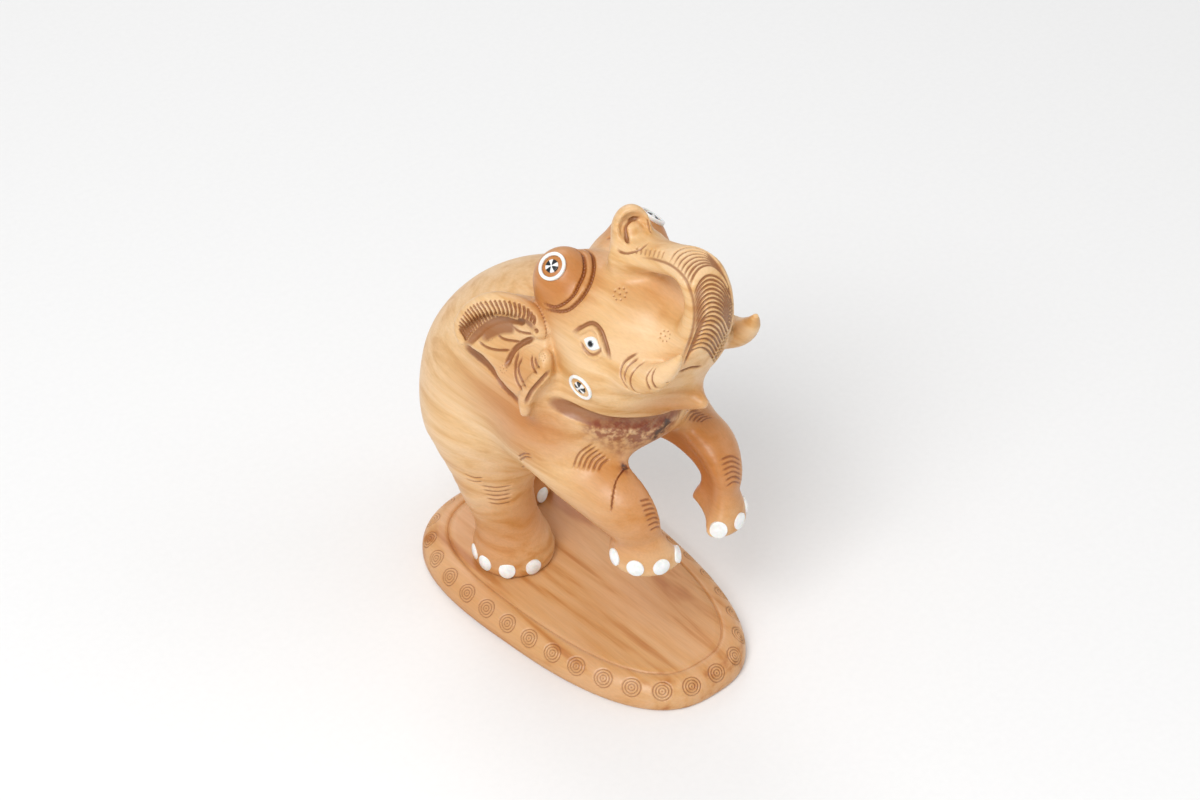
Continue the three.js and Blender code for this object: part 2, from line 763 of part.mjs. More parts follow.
const [eyeWhite, pupil] = eyePieces();
const eyePocket = solid(almond(
  eyeLength / 2 + inlayGap, eyeHeight / 2 + inlayGap, -eyeThickness, 4));
pockets.push(bothSides(eyePocket));
addPiece('eye_right', geometryOf(eyeWhite), whiteTone, 0.3);
addPiece('eye_left', geometryOf(eyeWhite.mirror([1, 0, 0])), whiteTone, 0.3);
addPiece('pupil_right', geometryOf(pupil), blackTone, 0.25);
addPiece('pupil_left', geometryOf(pupil.mirror([1, 0, 0])), blackTone, 0.25);

const sideAxis = new THREE.Vector3(1, 0, 0);

// The trunk as a flattened tube, from inside the face round to its rolled end.
function trunkSolid() {
  const curve = new THREE.CatmullRomCurve3(trunk.map((k) => place(k)));
  return solid(sweep(curve, (t) => {
    const r = knotRadius(trunk, t);
    return [r / trunkSpread, r];
  }, 12, 15, sideAxis));
}

// Tusks, with two cut rings near the root
function tuskSolid() {
  const curve = new THREE.CatmullRomCurve3(tusk.map((k) => place(k)));
  return solid(sweep(curve, (t) => {
    const notch = tuskRings.some((at) => Math.abs(t - at) < 0.02) ? 0.86 : 1;
    const r = knotRadius(tusk, t) * notch;
    return [r, r];
  }, 8, 12, sideAxis));
}

// The pointed lower lip, finer than the field's grid can hold it
function jawSolid() {
  const curve = new THREE.CatmullRomCurve3(jaw.map((k) => place(k)));
  return solid(sweep(curve, (t) => [knotRadius(jaw, t), knotRadius(jaw, t)], 8, 6, sideAxis));
}

// The trunk's rolled end, with a cup and a lump in it.
function knobParts() {
  const facing = new THREE.Vector3(...knobFacing).normalize();
  const mouth = place(knob.at).addScaledVector(facing, knob.r[1] * unit);
  const cup = new THREE.SphereGeometry(knobCup * unit, 12, 8);
  cup.translate(mouth.x, mouth.y, mouth.z);
  const lump = new THREE.SphereGeometry(knobLump * unit, 10, 7);
  const seat = mouth.clone().addScaledVector(facing, -knobCup * unit);
  lump.translate(seat.x, seat.y, seat.z);
  return { cup: solid(cup), lump: solid(lump) };
}

// The box that holds every mass of the smooth field, with room for a cell or two of its grid
const roundKnots = [hindRight, hindLeft, frontRight, jaw, trunk].flat()
  .map((knot) => ({ at: knot.slice(0, 3), r: [knot[3], knot[3], knot[3]] }));
const spans = [...masses, ...headMasses, cheek, crown, ...roundKnots];
const room = (gridRoom * cell) / unit;
const reach = (a, sign) => Math.max(...spans.map((mass) => sign * mass.at[a] + mass.r[a])) + room;
const sideReach = Math.max(reach(0, 1), reach(0, -1));
const low = [-sideReach, -reach(1, -1), (-soleRoom * cell) / unit];
const high = [sideReach, reach(1, 1), reach(2, 1)];

// Elephant
const main = solid(fieldSkin(figureDistance, low, high, cell / unit));
const knobPieces = knobParts();
const grooveSolids = [
  ...trunkGrooveSolids(),
  ...legGrooves(hindRightChain, hockGrooves, ...rightHockSpan),
  ...legGrooves(hindLeftChain, hockGrooves, ...leftHockSpan),
  bothSides(ringSolid(collar(dome, domeAxis.toArray(), collarDrop, collarRadius), grooveWidth * unit)),
];
// The outer shell of the joined shapes, without the chips and sealed hollows that joining leaves.
function outerShell(shape) {
  return shape.decompose().reduce((best, piece) => (piece.volume() > best.volume() ? piece : best));
}

const joined = main
  .add(trunkSolid())
  .add(jawSolid())
  .add(ball(knob, 12, 9))
  .subtract(knobPieces.cup)
  .add(knobPieces.lump)
  .add(bothSides(ball(dome, 14, 9)))
  .add(bothSides(tuskSolid()))
  .add(bothSides(earSolid()));
const elephant = outerShell(outerShell(joined)
  .subtract(joinAll(grooveSolids))
  .subtract(joinAll(pockets)));

// Plinth: an egg-shaped slab, narrower under the head, with a rounded shoulder and an incised line
function plinthRing(inset, z, count) {
  const [half, wide] = [plinthLength / 2 - inset, plinthWidth / 2 - inset];
  const ring = [];
  for (let k = 0; k < count; k += 1) {
    const angle = (2 * Math.PI * k) / count;
    const [c, s] = [Math.cos(angle), Math.sin(angle)];
    const power = plinthSquareness;
    const reach = (Math.abs(c) ** power + Math.abs(s) ** power) ** (-1 / power);
    const along = half * reach * s;
    const taper = 1 - (plinthTaper * -along) / (plinthLength / 2);
    ring.push(new THREE.Vector3(wide * reach * c * taper, along, z));
  }
  return ring;
}

function plinthSolid() {
  const rings = [];
  const sides = plinthSides;
  rings.push(plinthRing(0, 0, sides));
  for (let i = 0; i <= shoulderSteps; i += 1) {
    const angle = (Math.PI / 2) * (i / shoulderSteps);
    const inset = plinthBevel * (1 - Math.cos(angle));
    rings.push(plinthRing(inset, plinthThickness * (0.2 + 0.8 * Math.sin(angle)), sides));
  }
  const body = solid(facingOut(skin(rings)));
  const lineRings = [
    plinthRing(plinthBevel + 1, plinthThickness + 1, sides),
    plinthRing(plinthBevel + 1, plinthThickness - lineDepth, sides),
    plinthRing(plinthBevel + 1 + lineWidth, plinthThickness - lineDepth, sides),
    plinthRing(plinthBevel + 1 + lineWidth, plinthThickness + 1, sides),
  ];
  const line = solid(facingOut(hoop(lineRings)));
  return body.subtract(line);
}

// A closed hoop through rings, the last joined to the first.
function hoop(rings) {
  const sides = rings[0].length;
  const faces = [];
  rings.forEach((ring, i) => {
    const next = (i + 1) % rings.length;
    for (let k = 0; k < sides; k += 1) {
      const [a, b] = [k, (k + 1) % sides];
      faces.push(i * sides + a, i * sides + b, next * sides + b);
      faces.push(i * sides + a, next * sides + b, next * sides + a);
    }
  });
  const geometry = new THREE.BufferGeometry().setFromPoints(rings.flat());
  geometry.setIndex(faces);
  return geometry;
}

const part = new THREE.Group();
part.name = 'carved_elephant';
addPiece('base', geometryOf(plinthSolid()), woodTone, 0.45);
addPiece('elephant', geometryOf(elephant), woodTone, 0.4);
for (const piece of pieces) {
  const { tone, rough } = piece;
  const material = new THREE.MeshStandardMaterial({ color: tone, roughness: rough, metalness: 0 });
  const mesh = new THREE.Mesh(piece.geometry, material);
  mesh.name = piece.name;
  part.add(mesh);
}

export default part;
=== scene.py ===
"""Carved wooden elephant striding on its hind legs on an oval plinth, with white and black inlays."""

import logging
import math
from collections.abc import Callable, Sequence
from dataclasses import dataclass, field
from enum import Enum

import bpy
import numpy as np
from mathutils import Matrix, Vector
from mathutils.bvhtree import BVHTree


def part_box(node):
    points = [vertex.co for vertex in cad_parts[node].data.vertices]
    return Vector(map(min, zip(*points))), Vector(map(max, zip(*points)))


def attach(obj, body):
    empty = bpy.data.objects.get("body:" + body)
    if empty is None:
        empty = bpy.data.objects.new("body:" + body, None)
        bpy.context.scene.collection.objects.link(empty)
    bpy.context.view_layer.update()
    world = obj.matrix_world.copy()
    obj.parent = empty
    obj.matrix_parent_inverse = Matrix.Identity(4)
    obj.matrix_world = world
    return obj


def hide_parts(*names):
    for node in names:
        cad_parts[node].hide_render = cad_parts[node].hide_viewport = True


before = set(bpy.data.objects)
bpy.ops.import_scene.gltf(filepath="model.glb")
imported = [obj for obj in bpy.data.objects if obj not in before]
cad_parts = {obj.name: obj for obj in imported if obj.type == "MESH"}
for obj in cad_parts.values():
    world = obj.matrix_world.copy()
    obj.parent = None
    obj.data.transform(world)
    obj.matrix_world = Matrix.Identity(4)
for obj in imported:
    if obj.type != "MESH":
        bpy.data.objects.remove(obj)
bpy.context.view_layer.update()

LOG = logging.getLogger("carved_elephant")
MM = 0.001
BODY = "root"
MOST_TRIANGLES = 192_000
GROUND = np.array([0, 0, 9.8])  # the middle of the figure's soles, in millimetres
FAR = 1e9
TINY = 1e-9

Array = np.ndarray
Point = tuple[float, float, float]
Knot = tuple[float, float, float, float]
Pixel = tuple[float, float]


class Slot(Enum):
    """The record's material slots."""

    WOOD = "wood"
    WHITE = "white_inlay"
    BLACK = "black_inlay"


# Signed distances, in millimetres from the middle of the figure's soles


def soft_min(a: Array, b: Array, blend: float) -> Array:
    """Joins two distance fields with a rounded valley.

    Args:
        a: First field.
        b: Second field.
        blend: Width of the valley in millimetres.

    Returns:
        The joined field.
    """
    h = np.maximum(blend - np.abs(a - b), 0) / blend
    return np.minimum(a, b) - h * h * blend * 0.25


def soft_max(a: Array, b: Array, blend: float) -> Array:
    """Cuts one field by another with a rounded edge."""
    return -soft_min(-a, -b, blend)


def folded(p: Array) -> Array:
    """Returns the points with both sides of the figure folded onto its right side."""
    q = p.copy()
    q[..., 0] = -np.abs(q[..., 0])
    return q


@dataclass(frozen=True)
class Mass:
    """A rounded mass: an ellipsoid that leans about X and blends into what it joins."""

    at: Point
    radii: Point
    lean: float = 0.0
    blend: float = 1.0

    def distance(self, p: Array) -> Array:
        """Returns the signed distance of each point."""
        lean = math.radians(self.lean)
        d = p - np.array(self.at)
        y = d[..., 1] * math.cos(lean) + d[..., 2] * math.sin(lean)
        z = d[..., 2] * math.cos(lean) - d[..., 1] * math.sin(lean)
        q = np.stack([d[..., 0], y, z], -1) / np.array(self.radii)
        near = np.sqrt((q**2).sum(-1))
        slope = np.sqrt(((q / np.array(self.radii)) ** 2).sum(-1))
        return near * (near - 1) / np.maximum(slope, TINY)


def smooth_knots(knots: Sequence[Sequence[float]], steps: int) -> Array:
    """Runs a smooth curve through knots.

    Args:
        knots: Points, each with any further values such as a radius.
        steps: Samples between two knots.

    Returns:
        The samples, one row each.
    """
    k = np.array(knots, float)
    k = np.vstack([2 * k[0] - k[1], k, 2 * k[-1] - k[-2]])
    rows = []
    for i in range(1, len(k) - 2):
        a, b, c, d = k[i - 1 : i + 3]
        square, cube = 2 * a - 5 * b + 4 * c - d, 3 * b - a - 3 * c + d
        for t in np.arange(steps) / steps:
            rows.append(0.5 * (2 * b + (c - a) * t + square * t**2 + cube * t**3))
    rows.append(k[-2])
    return np.array(rows)


def chain_distance(p: Array, chain: Array) -> Array:
    """Returns the signed distance to a chain of round sections given as rows of x, y, z, radius."""
    best = np.full(p.shape[:-1], FAR)
    for a, b in zip(chain[:-1], chain[1:]):
        along = b[:3] - a[:3]
        t = np.clip(((p - a[:3]) @ along) / max(along @ along, TINY), 0, 1)
        gap = p - a[:3] - t[..., None] * along
        best = np.minimum(best, np.sqrt((gap**2).sum(-1)) - (a[3] + t * (b[3] - a[3])))
    return best


def outline_distance(u: Array, v: Array, corners: Array) -> Array:
    """Returns the signed distance to a closed flat outline, negative inside it."""
    best = np.full(u.shape, FAR**2)
    sign = np.ones(u.shape)
    for here, last in zip(corners, np.roll(corners, 1, axis=0)):
        edge = last - here
        wu, wv = u - here[0], v - here[1]
        t = np.clip((wu * edge[0] + wv * edge[1]) / (edge @ edge), 0, 1)
        best = np.minimum(best, (wu - edge[0] * t) ** 2 + (wv - edge[1] * t) ** 2)
        above, below = v >= here[1], v < last[1]
        left = edge[0] * wv > edge[1] * wu
        turn = (above & below & left) | (~above & ~below & ~left)
        sign = np.where(turn, -sign, sign)
    return sign * np.sqrt(best)


@dataclass(frozen=True)
class Ear:
    """The right ear, in its own plane: u to the rear, v downwards and w outwards from the root."""

    root: Point = (-27, -9, 123.5)
    rear: Point = (-37, 21, 114.5)
    tip: Point = (-35, -14, 103.5)
    half_thickness: float = 2.0
    dish_depth: float = 1.4
    root_depth: float = 3.2
    edge_blend: float = 2.0
    fold_blend: float = 1.2
    low: Point = (-18, -26, -16)
    high: Point = (46, 40, 16)
    beyond: float = 12.0
    outline: tuple[Pixel, ...] = (
        (-3, -3), (-1.9, -6.5), (1.6, -9.8), (6.7, -11.5), (12, -12.3), (17, -12.4), (22, -11), (26, -9),
        (29.5, -6), (32, -2), (32, 2), (29, 5), (22.3, 8.2), (17.9, 11.7), (15.9, 14.7), (11.9, 17.9),
        (7, 21), (5.4, 26), (3.5, 22), (-1, 16), (-5, 11.4), (-4, 6),
    )
    rim: tuple[Knot, ...] = (
        (-1.5, -2, 2.2, 2.6), (1, -6.5, 2.6, 3.4), (7, -9, 2.8, 3.8), (14.5, -9.6, 2.8, 3.9),
        (21, -8.2, 2.6, 3.7), (26.5, -5, 2.2, 3.3), (30, -0.8, 1.6, 2.7), (29.8, 3.4, 1.2, 2),
    )
    fold: tuple[Knot, ...] = (
        (-3.5, 6, 2.2, 2.2), (-3, 11, 2.4, 2.6), (1.5, 15.5, 2.4, 2.6), (4.4, 20, 2, 2.3),
        (5.2, 24.6, 1.2, 1.6),
    )

    def axes(self) -> tuple[Array, Array, Array]:
        """Returns the ear's rearward, downward and outward directions."""
        root, rear, tip = np.array(self.root), np.array(self.rear), np.array(self.tip)
        u = (rear - root) / np.linalg.norm(rear - root)
        w = np.cross(tip - root, u)
        w /= np.linalg.norm(w) * (1 if w[0] < 0 else -1)
        return u, np.cross(w, u), w

    def distance(self, p: Array) -> Array:
        """Returns the signed distance of each point that is near the ear, and a large value elsewhere."""
        local = np.stack([(p - np.array(self.root)) @ axis for axis in self.axes()], -1)
        near = ((local > self.low) & (local < self.high)).all(-1)
        out = np.full(near.shape, self.beyond)
        local = local[near]
        u, v, w = local[:, 0], local[:, 1], local[:, 2]
        dish = -self.dish_depth * np.exp(-(((u - 12) / 13) ** 2) - ((v - 2) / 9) ** 2)
        root = self.root_depth * np.exp(-((u / 14) ** 2))
        leaf = np.abs(w - dish + root) - self.half_thickness - root
        d = soft_max(outline_distance(u, v, np.array(self.outline)), leaf, self.edge_blend)
        for knots, steps in ((self.rim, 4), (self.fold, 3)):
            d = soft_min(d, chain_distance(local, smooth_knots(knots, steps)), self.fold_blend)
        out[near] = d
        return out


@dataclass(frozen=True)
class Figure:
    """The elephant's form: masses, limbs, trunk, tusks and ears, as one distance field."""

    body: tuple[Mass, ...] = (
        Mass((0, 35.5, 74), (34.9, 31, 35), 22),
        Mass((0, 8, 92.5), (34, 37, 32), -12, 16),
        Mass((0, 11, 73), (28, 29, 25), 0, 12),
        Mass((0, -14, 96.5), (29, 25, 29), 0, 12),
    )
    hind_right: tuple[Knot, ...] = (
        (-17.5, 34, 58, 18), (-17.5, 29, 36, 13.3), (-15, 27, 20, 11.2), (-13.3, 26, 9, 12.6),
        (-12.8, 25.5, 3, 14.6),
    )
    hind_left: tuple[Knot, ...] = (
        (16, 42, 57.5, 18), (15, 48, 36, 13.3), (11, 51, 20, 11), (9.8, 51.5, 9, 11.8), (9.5, 51.5, 3, 12.8),
    )
    front_right: tuple[Knot, ...] = (
        (-19, -6, 80, 15.5), (-21, -18, 74.5, 12.2), (-20.8, -28.5, 71.2, 10.6), (-19.2, -37.3, 69.6, 11),
        (-17.2, -43.2, 65.5, 10.2), (-15.4, -45, 59.5, 9.5), (-14.6, -46, 54, 10.8),
        (-14.3, -46.2, 50.5, 12.1),
    )
    hollow: Mass = Mass((0, -31, 62), (17, 27, 18.5), 0, 7)
    limb_blend: float = 9
    hind_blend: float = 14
    front_sole: float = 48.8
    head: tuple[Mass, ...] = (
        Mass((0, -22.5, 123), (26.5, 25.5, 23.5)),
        Mass((0, -39, 131), (16, 16.5, 14), 0, 12),
    )
    cheek: Mass = Mass((-12, -28.5, 114.5), (12.5, 14, 12.5), 0, 10)
    crown: Mass = Mass((-11.5, -9, 133.5), (13, 14, 12.5), 0, 9)
    dome: Mass = Mass((-15.1, -7.2, 138.4), (10, 10.5, 11.5), 0, 1.6)
    jaw: tuple[Knot, ...] = (
        (0, -34, 109.5, 12), (0, -44, 110, 7.2), (0, -50.5, 110.5, 4.4), (0, -56, 111, 2),
    )
    head_blend: float = 7
    trunk: tuple[Knot, ...] = (
        (0, -43, 125, 9), (0, -51, 132.5, 7.4), (0, -56, 140.5, 6.3), (0, -57.6, 148.5, 5.6),
        (0, -57, 155, 5.1), (0, -53.5, 160, 4.8), (0, -47.5, 160.8, 4.4), (0, -40, 158.2, 4.2),
        (0, -32, 155.4, 4.6), (0, -24, 152.8, 6.2),
    )
    trunk_spread: float = 0.6
    knob: Mass = Mass((0, -21.5, 158.6), (6.4, 6.4, 9.4), 0, 3)
    knob_facing: Point = (-0.3, -0.66, 0.6)
    cup_radius: float = 5.6
    lump_radius: float = 3.6
    tusk: tuple[Knot, ...] = (
        (-15, -33.8, 118.5, 7.5), (-17.5, -43.3, 123.6, 6.3), (-18, -52.7, 128.3, 4.6),
        (-17, -59.3, 135.3, 2.8), (-15.6, -62.6, 141.6, 0.8),
    )
    tusk_blend: float = 1.6
    ear_blend: float = 1.6
    cup_blend: float = 1.2
    lump_blend: float = 0.8
    sole_blend: float = 1.5
    ground_blend: float = 1.0
    ear: Ear = field(default_factory=Ear)

    def head_distance(self, p: Array, side: Array) -> Array:
        """Returns the distance to the head with its jaw, trunk, tusks and ears."""
        d = soft_min(self.head[0].distance(p), self.head[1].distance(p), self.head[1].blend)
        for mass in (self.cheek, self.crown):
            d = soft_min(d, mass.distance(side), mass.blend)
        d = soft_min(d, chain_distance(p, smooth_knots(self.jaw, 3)), self.head_blend)
        spread = np.array([self.trunk_spread, 1, 1])
        d = soft_min(d, chain_distance(p * spread, smooth_knots(self.trunk, 5)), self.head_blend)
        d = soft_min(d, self.dome.distance(side), self.dome.blend)
        d = soft_min(d, self.knob_distance(p), self.knob.blend)
        d = soft_min(d, chain_distance(side, smooth_knots(self.tusk, 5)), self.tusk_blend)
        return soft_min(d, self.ear.distance(side), self.ear_blend)

    def knob_distance(self, p: Array) -> Array:
        """Returns the distance to the trunk's rolled end: a ball with a cup and a lump in it."""
        facing = np.array(self.knob_facing) / np.linalg.norm(self.knob_facing)
        mouth = np.array(self.knob.at) + facing * self.knob.radii[1]
        cup = np.linalg.norm(p - mouth, axis=-1) - self.cup_radius
        lump = np.linalg.norm(p - mouth + facing * self.cup_radius, axis=-1) - self.lump_radius
        return soft_min(soft_max(self.knob.distance(p), -cup, self.cup_blend), lump, self.lump_blend)

    def distance(self, p: Array) -> Array:
        """Returns the signed distance of each point to the whole figure."""
        side = folded(p)
        d = self.body[0].distance(p)
        for mass in self.body[1:]:
            d = soft_min(d, mass.distance(p), mass.blend)
        for knots in (self.hind_right, self.hind_left):
            d = soft_min(d, chain_distance(p, smooth_knots(knots, 4)), self.hind_blend)
        legs = chain_distance(side, smooth_knots(self.front_right, 4))
        d = soft_min(d, soft_max(legs, self.front_sole - p[..., 2], self.sole_blend), self.limb_blend)
        d = soft_max(d, -self.hollow.distance(p), self.hollow.blend)
        d = soft_min(d, self.head_distance(p, side), self.head_blend)
        return soft_max(d, -p[..., 2], self.ground_blend)

    def normals(self, p: Array) -> Array:
        """Returns the field's unit slope at each point."""
        probes = 0.3 * np.eye(3)
        slope = np.stack([self.distance(p + probe) - self.distance(p - probe) for probe in probes], -1)
        return slope / np.maximum(np.linalg.norm(slope, axis=-1, keepdims=True), TINY)


# Meshes from fields


BLOCK = 8  # samples along a block's side
BATCH = 256  # blocks sampled at once
SURFACE_REACH = 1.35  # distance from a block's middle to the surface, in block sizes, that still crosses it


def band_values(distance: Callable[[Array], Array], low: Array, shape: Array, step: float) -> Array:
    """Samples a field on a grid, closely only where the surface runs.

    Args:
        distance: The field.
        low: The grid's lowest corner.
        shape: Number of blocks each way.
        step: Spacing of the grid.

    Returns:
        The samples, BLOCK * shape of them each way.
    """
    size = BLOCK * step
    middles = low + (np.stack(np.meshgrid(*map(np.arange, shape), indexing="ij"), -1) + 0.5) * size
    rough = distance(middles.reshape(-1, 3)).reshape(shape)
    values = np.kron(rough, np.ones((BLOCK,) * 3))
    inner = np.stack(np.meshgrid(*[np.arange(BLOCK)] * 3, indexing="ij"), -1).reshape(-1, 3) * step
    near = np.argwhere(np.abs(rough) < size * SURFACE_REACH)
    for start in range(0, len(near), BATCH):
        corner = near[start : start + BATCH]
        points = low + corner[:, None] * size + inner
        sample = distance(points.reshape(-1, 3)).reshape(-1, BLOCK, BLOCK, BLOCK)
        for (i, j, k), cube in zip(corner * BLOCK, sample):
            values[i : i + BLOCK, j : j + BLOCK, k : k + BLOCK] = cube
    return values


def net_of(values: Array, low: Array, step: float) -> tuple[Array, Array]:
    """Nets the zero surface of a sampled field.

    Args:
        values: The samples.
        low: The grid's lowest corner.
        step: Spacing of the grid.

    Returns:
        The vertices and the quads.
    """
    shape = np.array(values.shape)
    cell_ids, crossings, quads = [], [], []
    for a in range(3):
        b, c = (a + 1) % 3, (a + 2) % 3
        length = values.shape[a]
        v0, v1 = np.take(values, range(length - 1), a), np.take(values, range(1, length), a)
        cross = (v0 < 0) != (v1 < 0)
        start = np.argwhere(cross)
        keep = (start[:, b] > 0) & (start[:, c] > 0)
        start = start[keep]
        z0, z1 = v0[cross][keep], v1[cross][keep]
        point = start.astype(float)
        point[:, a] += z0 / (z0 - z1)
        ring = []
        for s, t in ((1, 1), (0, 1), (0, 0), (1, 0)):
            cell = start.copy()
            cell[:, b] -= s
            cell[:, c] -= t
            ids = np.ravel_multi_index(tuple(cell.T), tuple(shape))
            cell_ids.append(ids)
            crossings.append(point)
            ring.append(ids)
        ring = np.stack(ring, 1)
        ring[z0 > 0] = ring[z0 > 0][:, ::-1]
        quads.append(ring)
    ids = np.concatenate(cell_ids)
    unique, inverse = np.unique(ids, return_inverse=True)
    count = np.bincount(inverse)
    points = np.concatenate(crossings)
    mean = np.stack([np.bincount(inverse, points[:, i]) / count for i in range(3)], 1)
    return low + mean * step, np.searchsorted(unique, np.concatenate(quads))


def drawn_onto(distance: Callable[[Array], Array], points: Array, most: float) -> Array:
    """Moves points onto a field's surface along its slope, each by less than a given length."""
    probe, least = 0.05, 0.25
    value = distance(points)
    slope = np.stack([(distance(points + probe * axis) - value) / probe for axis in np.eye(3)], -1)
    size = np.maximum((slope**2).sum(-1), least)
    return points - slope * np.clip(value / size, -most, most)[:, None]


def mesh_object(name: str, points: Array, faces: Array | Sequence[Sequence[int]]) -> bpy.types.Object:
    """Makes a mesh object at the origin from points in millimetres of the row frame."""
    mesh = bpy.data.meshes.new(name)
    mesh.from_pydata((np.asarray(points) * MM).tolist(), [], np.asarray(faces).tolist())
    mesh.validate()
    made = bpy.data.objects.new(name, mesh)
    bpy.context.scene.collection.objects.link(made)
    return made


def read(values: bpy.types.bpy_prop_collection, name: str, width: int = 1) -> Array:
    """Returns one property of every item of a mesh's collection, in rows of a width."""
    flat = np.empty(len(values) * width, float if width == 3 else np.int32)
    values.foreach_get(name, flat)
    return flat.reshape(-1, width) if width > 1 else flat


def points_of(made: bpy.types.Object) -> Array:
    """Returns a mesh's vertices in millimetres of the row frame."""
    return read(made.data.vertices, "co", 3) / MM


def normals_of(made: bpy.types.Object) -> Array:
    """Returns a mesh's vertex normals."""
    return read(made.data.vertex_normals, "vector", 3)


def set_points(made: bpy.types.Object, points: Array) -> None:
    """Puts a mesh's vertices at points given in millimetres."""
    made.data.vertices.foreach_set("co", (points * MM).ravel())
    made.data.update()


def set_attribute(made: bpy.types.Object, name: str, values: Array) -> None:
    """Stores one number a vertex."""
    layer = made.data.attributes.new(name, "FLOAT", "POINT")
    layer.data.foreach_set("value", values.astype(np.float32))


def select_only(made: bpy.types.Object) -> None:
    """Selects one object and makes it active."""
    bpy.ops.object.select_all(action="DESELECT")
    made.select_set(True)
    bpy.context.view_layer.objects.active = made


def edit(made: bpy.types.Object, everything: bool = False) -> None:
    """Opens one object in edit mode, with its selection as it is or with everything selected."""
    select_only(made)
    bpy.context.tool_settings.mesh_select_mode = (True, False, False)
    bpy.ops.object.mode_set(mode="EDIT")
    if everything:
        bpy.ops.mesh.select_all(action="SELECT")


def added(name: str, **transforms: bool) -> bpy.types.Object:
    """Names the primitive just added, applies the transforms asked for and returns it."""
    made = bpy.context.object
    made.name = made.data.name = name
    if transforms:
        bpy.ops.object.transform_apply(scale=False, **transforms)
    return made


def select_where(made: bpy.types.Object, chosen: Array) -> None:
    """Selects a mesh's chosen vertices, with the edges and faces that lie wholly among them."""
    mesh = made.data
    corners, starts = read(mesh.loops, "vertex_index"), read(mesh.polygons, "loop_start")
    mesh.vertices.foreach_set("select", chosen)
    mesh.edges.foreach_set("select", chosen[read(mesh.edges, "vertices", 2)].all(1))
    mesh.polygons.foreach_set("select", np.logical_and.reduceat(chosen[corners], starts))


def finish_piece(made: bpy.types.Object, material: bpy.types.Material, node: str) -> None:
    """Dresses a finished piece and ties it to its body and the CAD node it stands for.

    Args:
        made: The piece, at the origin.
        material: Its finish.
        node: CAD node that it replaces.
    """
    made.data.materials.clear()
    made.data.materials.append(material)
    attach(made, BODY)
    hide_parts(node)
    LOG.info("%s: %d faces", made.name, len(made.data.polygons))


# Carving


@dataclass(frozen=True)
class Photograph:
    """The photograph's view, which places the camera and the carved strokes."""

    azimuth: float = -40.6
    elevation: float = 39.0
    distance: float = 1001.0
    right: float = 4.3
    up: float = 68.0
    lens: float = 85.0
    sensor: float = 36.0
    width: int = 1200
    height: int = 800

    def axes(self) -> tuple[Array, Array, Array]:
        """Returns the view's right, up and backward directions."""
        a, e = math.radians(self.azimuth), math.radians(self.elevation)
        back = np.array([math.sin(a) * math.cos(e), -math.cos(a) * math.cos(e), math.sin(e)])
        right = np.array([math.cos(a), math.sin(a), 0.0])
        return right, np.cross(back, right), back

    def position(self) -> Array:
        """Returns the eye's place in millimetres."""
        right, up, back = self.axes()
        return self.distance * back + self.right * right + self.up * up

    def ray(self, pixel: Pixel) -> Array:
        """Returns the direction in which a pixel of the photograph looks."""
        right, up, back = self.axes()
        focal = self.lens / self.sensor * self.width
        x, y = (pixel[0] - self.width / 2) / focal, (self.height / 2 - pixel[1]) / focal
        way = x * right + y * up - back
        return way / np.linalg.norm(way)


class Cut(Enum):
    """Sections of a carved stroke."""

    GROOVE = "groove"
    RIDGE = "ridge"
    DOTS = "dots"


@dataclass(frozen=True)
class Stroke:
    """A carved line, as points in millimetres on the surface."""

    path: Array
    half_width: float
    depth: float
    cut: Cut = Cut.GROOVE
    fade: bool = True
    pitch: float = 1.25
    fade_share: float = 0.18
    end_share: float = 0.3

    def close_to(self, points: Array, margin: float) -> Array:
        """Returns the indices of the points within a margin of the stroke's samples."""
        low, high = self.path.min(0) - margin, self.path.max(0) + margin
        where = np.flatnonzero(((points > low) & (points < high)).all(1))
        gap = np.full(len(where), FAR)
        for q in self.path:
            gap = np.minimum(gap, np.linalg.norm(points[where] - q, axis=1))
        return where[gap < margin]

    def profile(self, points: Array) -> Array:
        """Returns the depth of the cut at each point, negative where it stands up."""
        best = np.full(len(points), FAR)
        at = np.zeros(len(points))
        lengths = np.linalg.norm(np.diff(self.path, axis=0), axis=1)
        total = max(lengths.sum(), TINY)
        run = 0.0
        for a, b, size in zip(self.path[:-1], self.path[1:], lengths):
            along = b - a
            t = np.clip(((points - a) @ along) / max(along @ along, TINY), 0, 1)
            gap = np.linalg.norm(points - a - t[:, None] * along, axis=1)
            at = np.where(gap < best, run + t * size, at)
            best = np.minimum(best, gap)
            run += size
        shape = np.clip(1 - (best / self.half_width) ** 2, 0, 1)
        if self.fade:
            to_end = np.minimum(at, total - at)
            shape = shape * np.clip(to_end / (self.fade_share * total) + self.end_share, 0, 1)
        if self.cut is Cut.DOTS:
            phase = np.abs(((at / self.pitch) % 1) - 0.5) * self.pitch
            shape = shape * np.clip(1.4 - phase / self.half_width, 0.25, 1)
        return shape * (-self.depth if self.cut is Cut.RIDGE else self.depth)


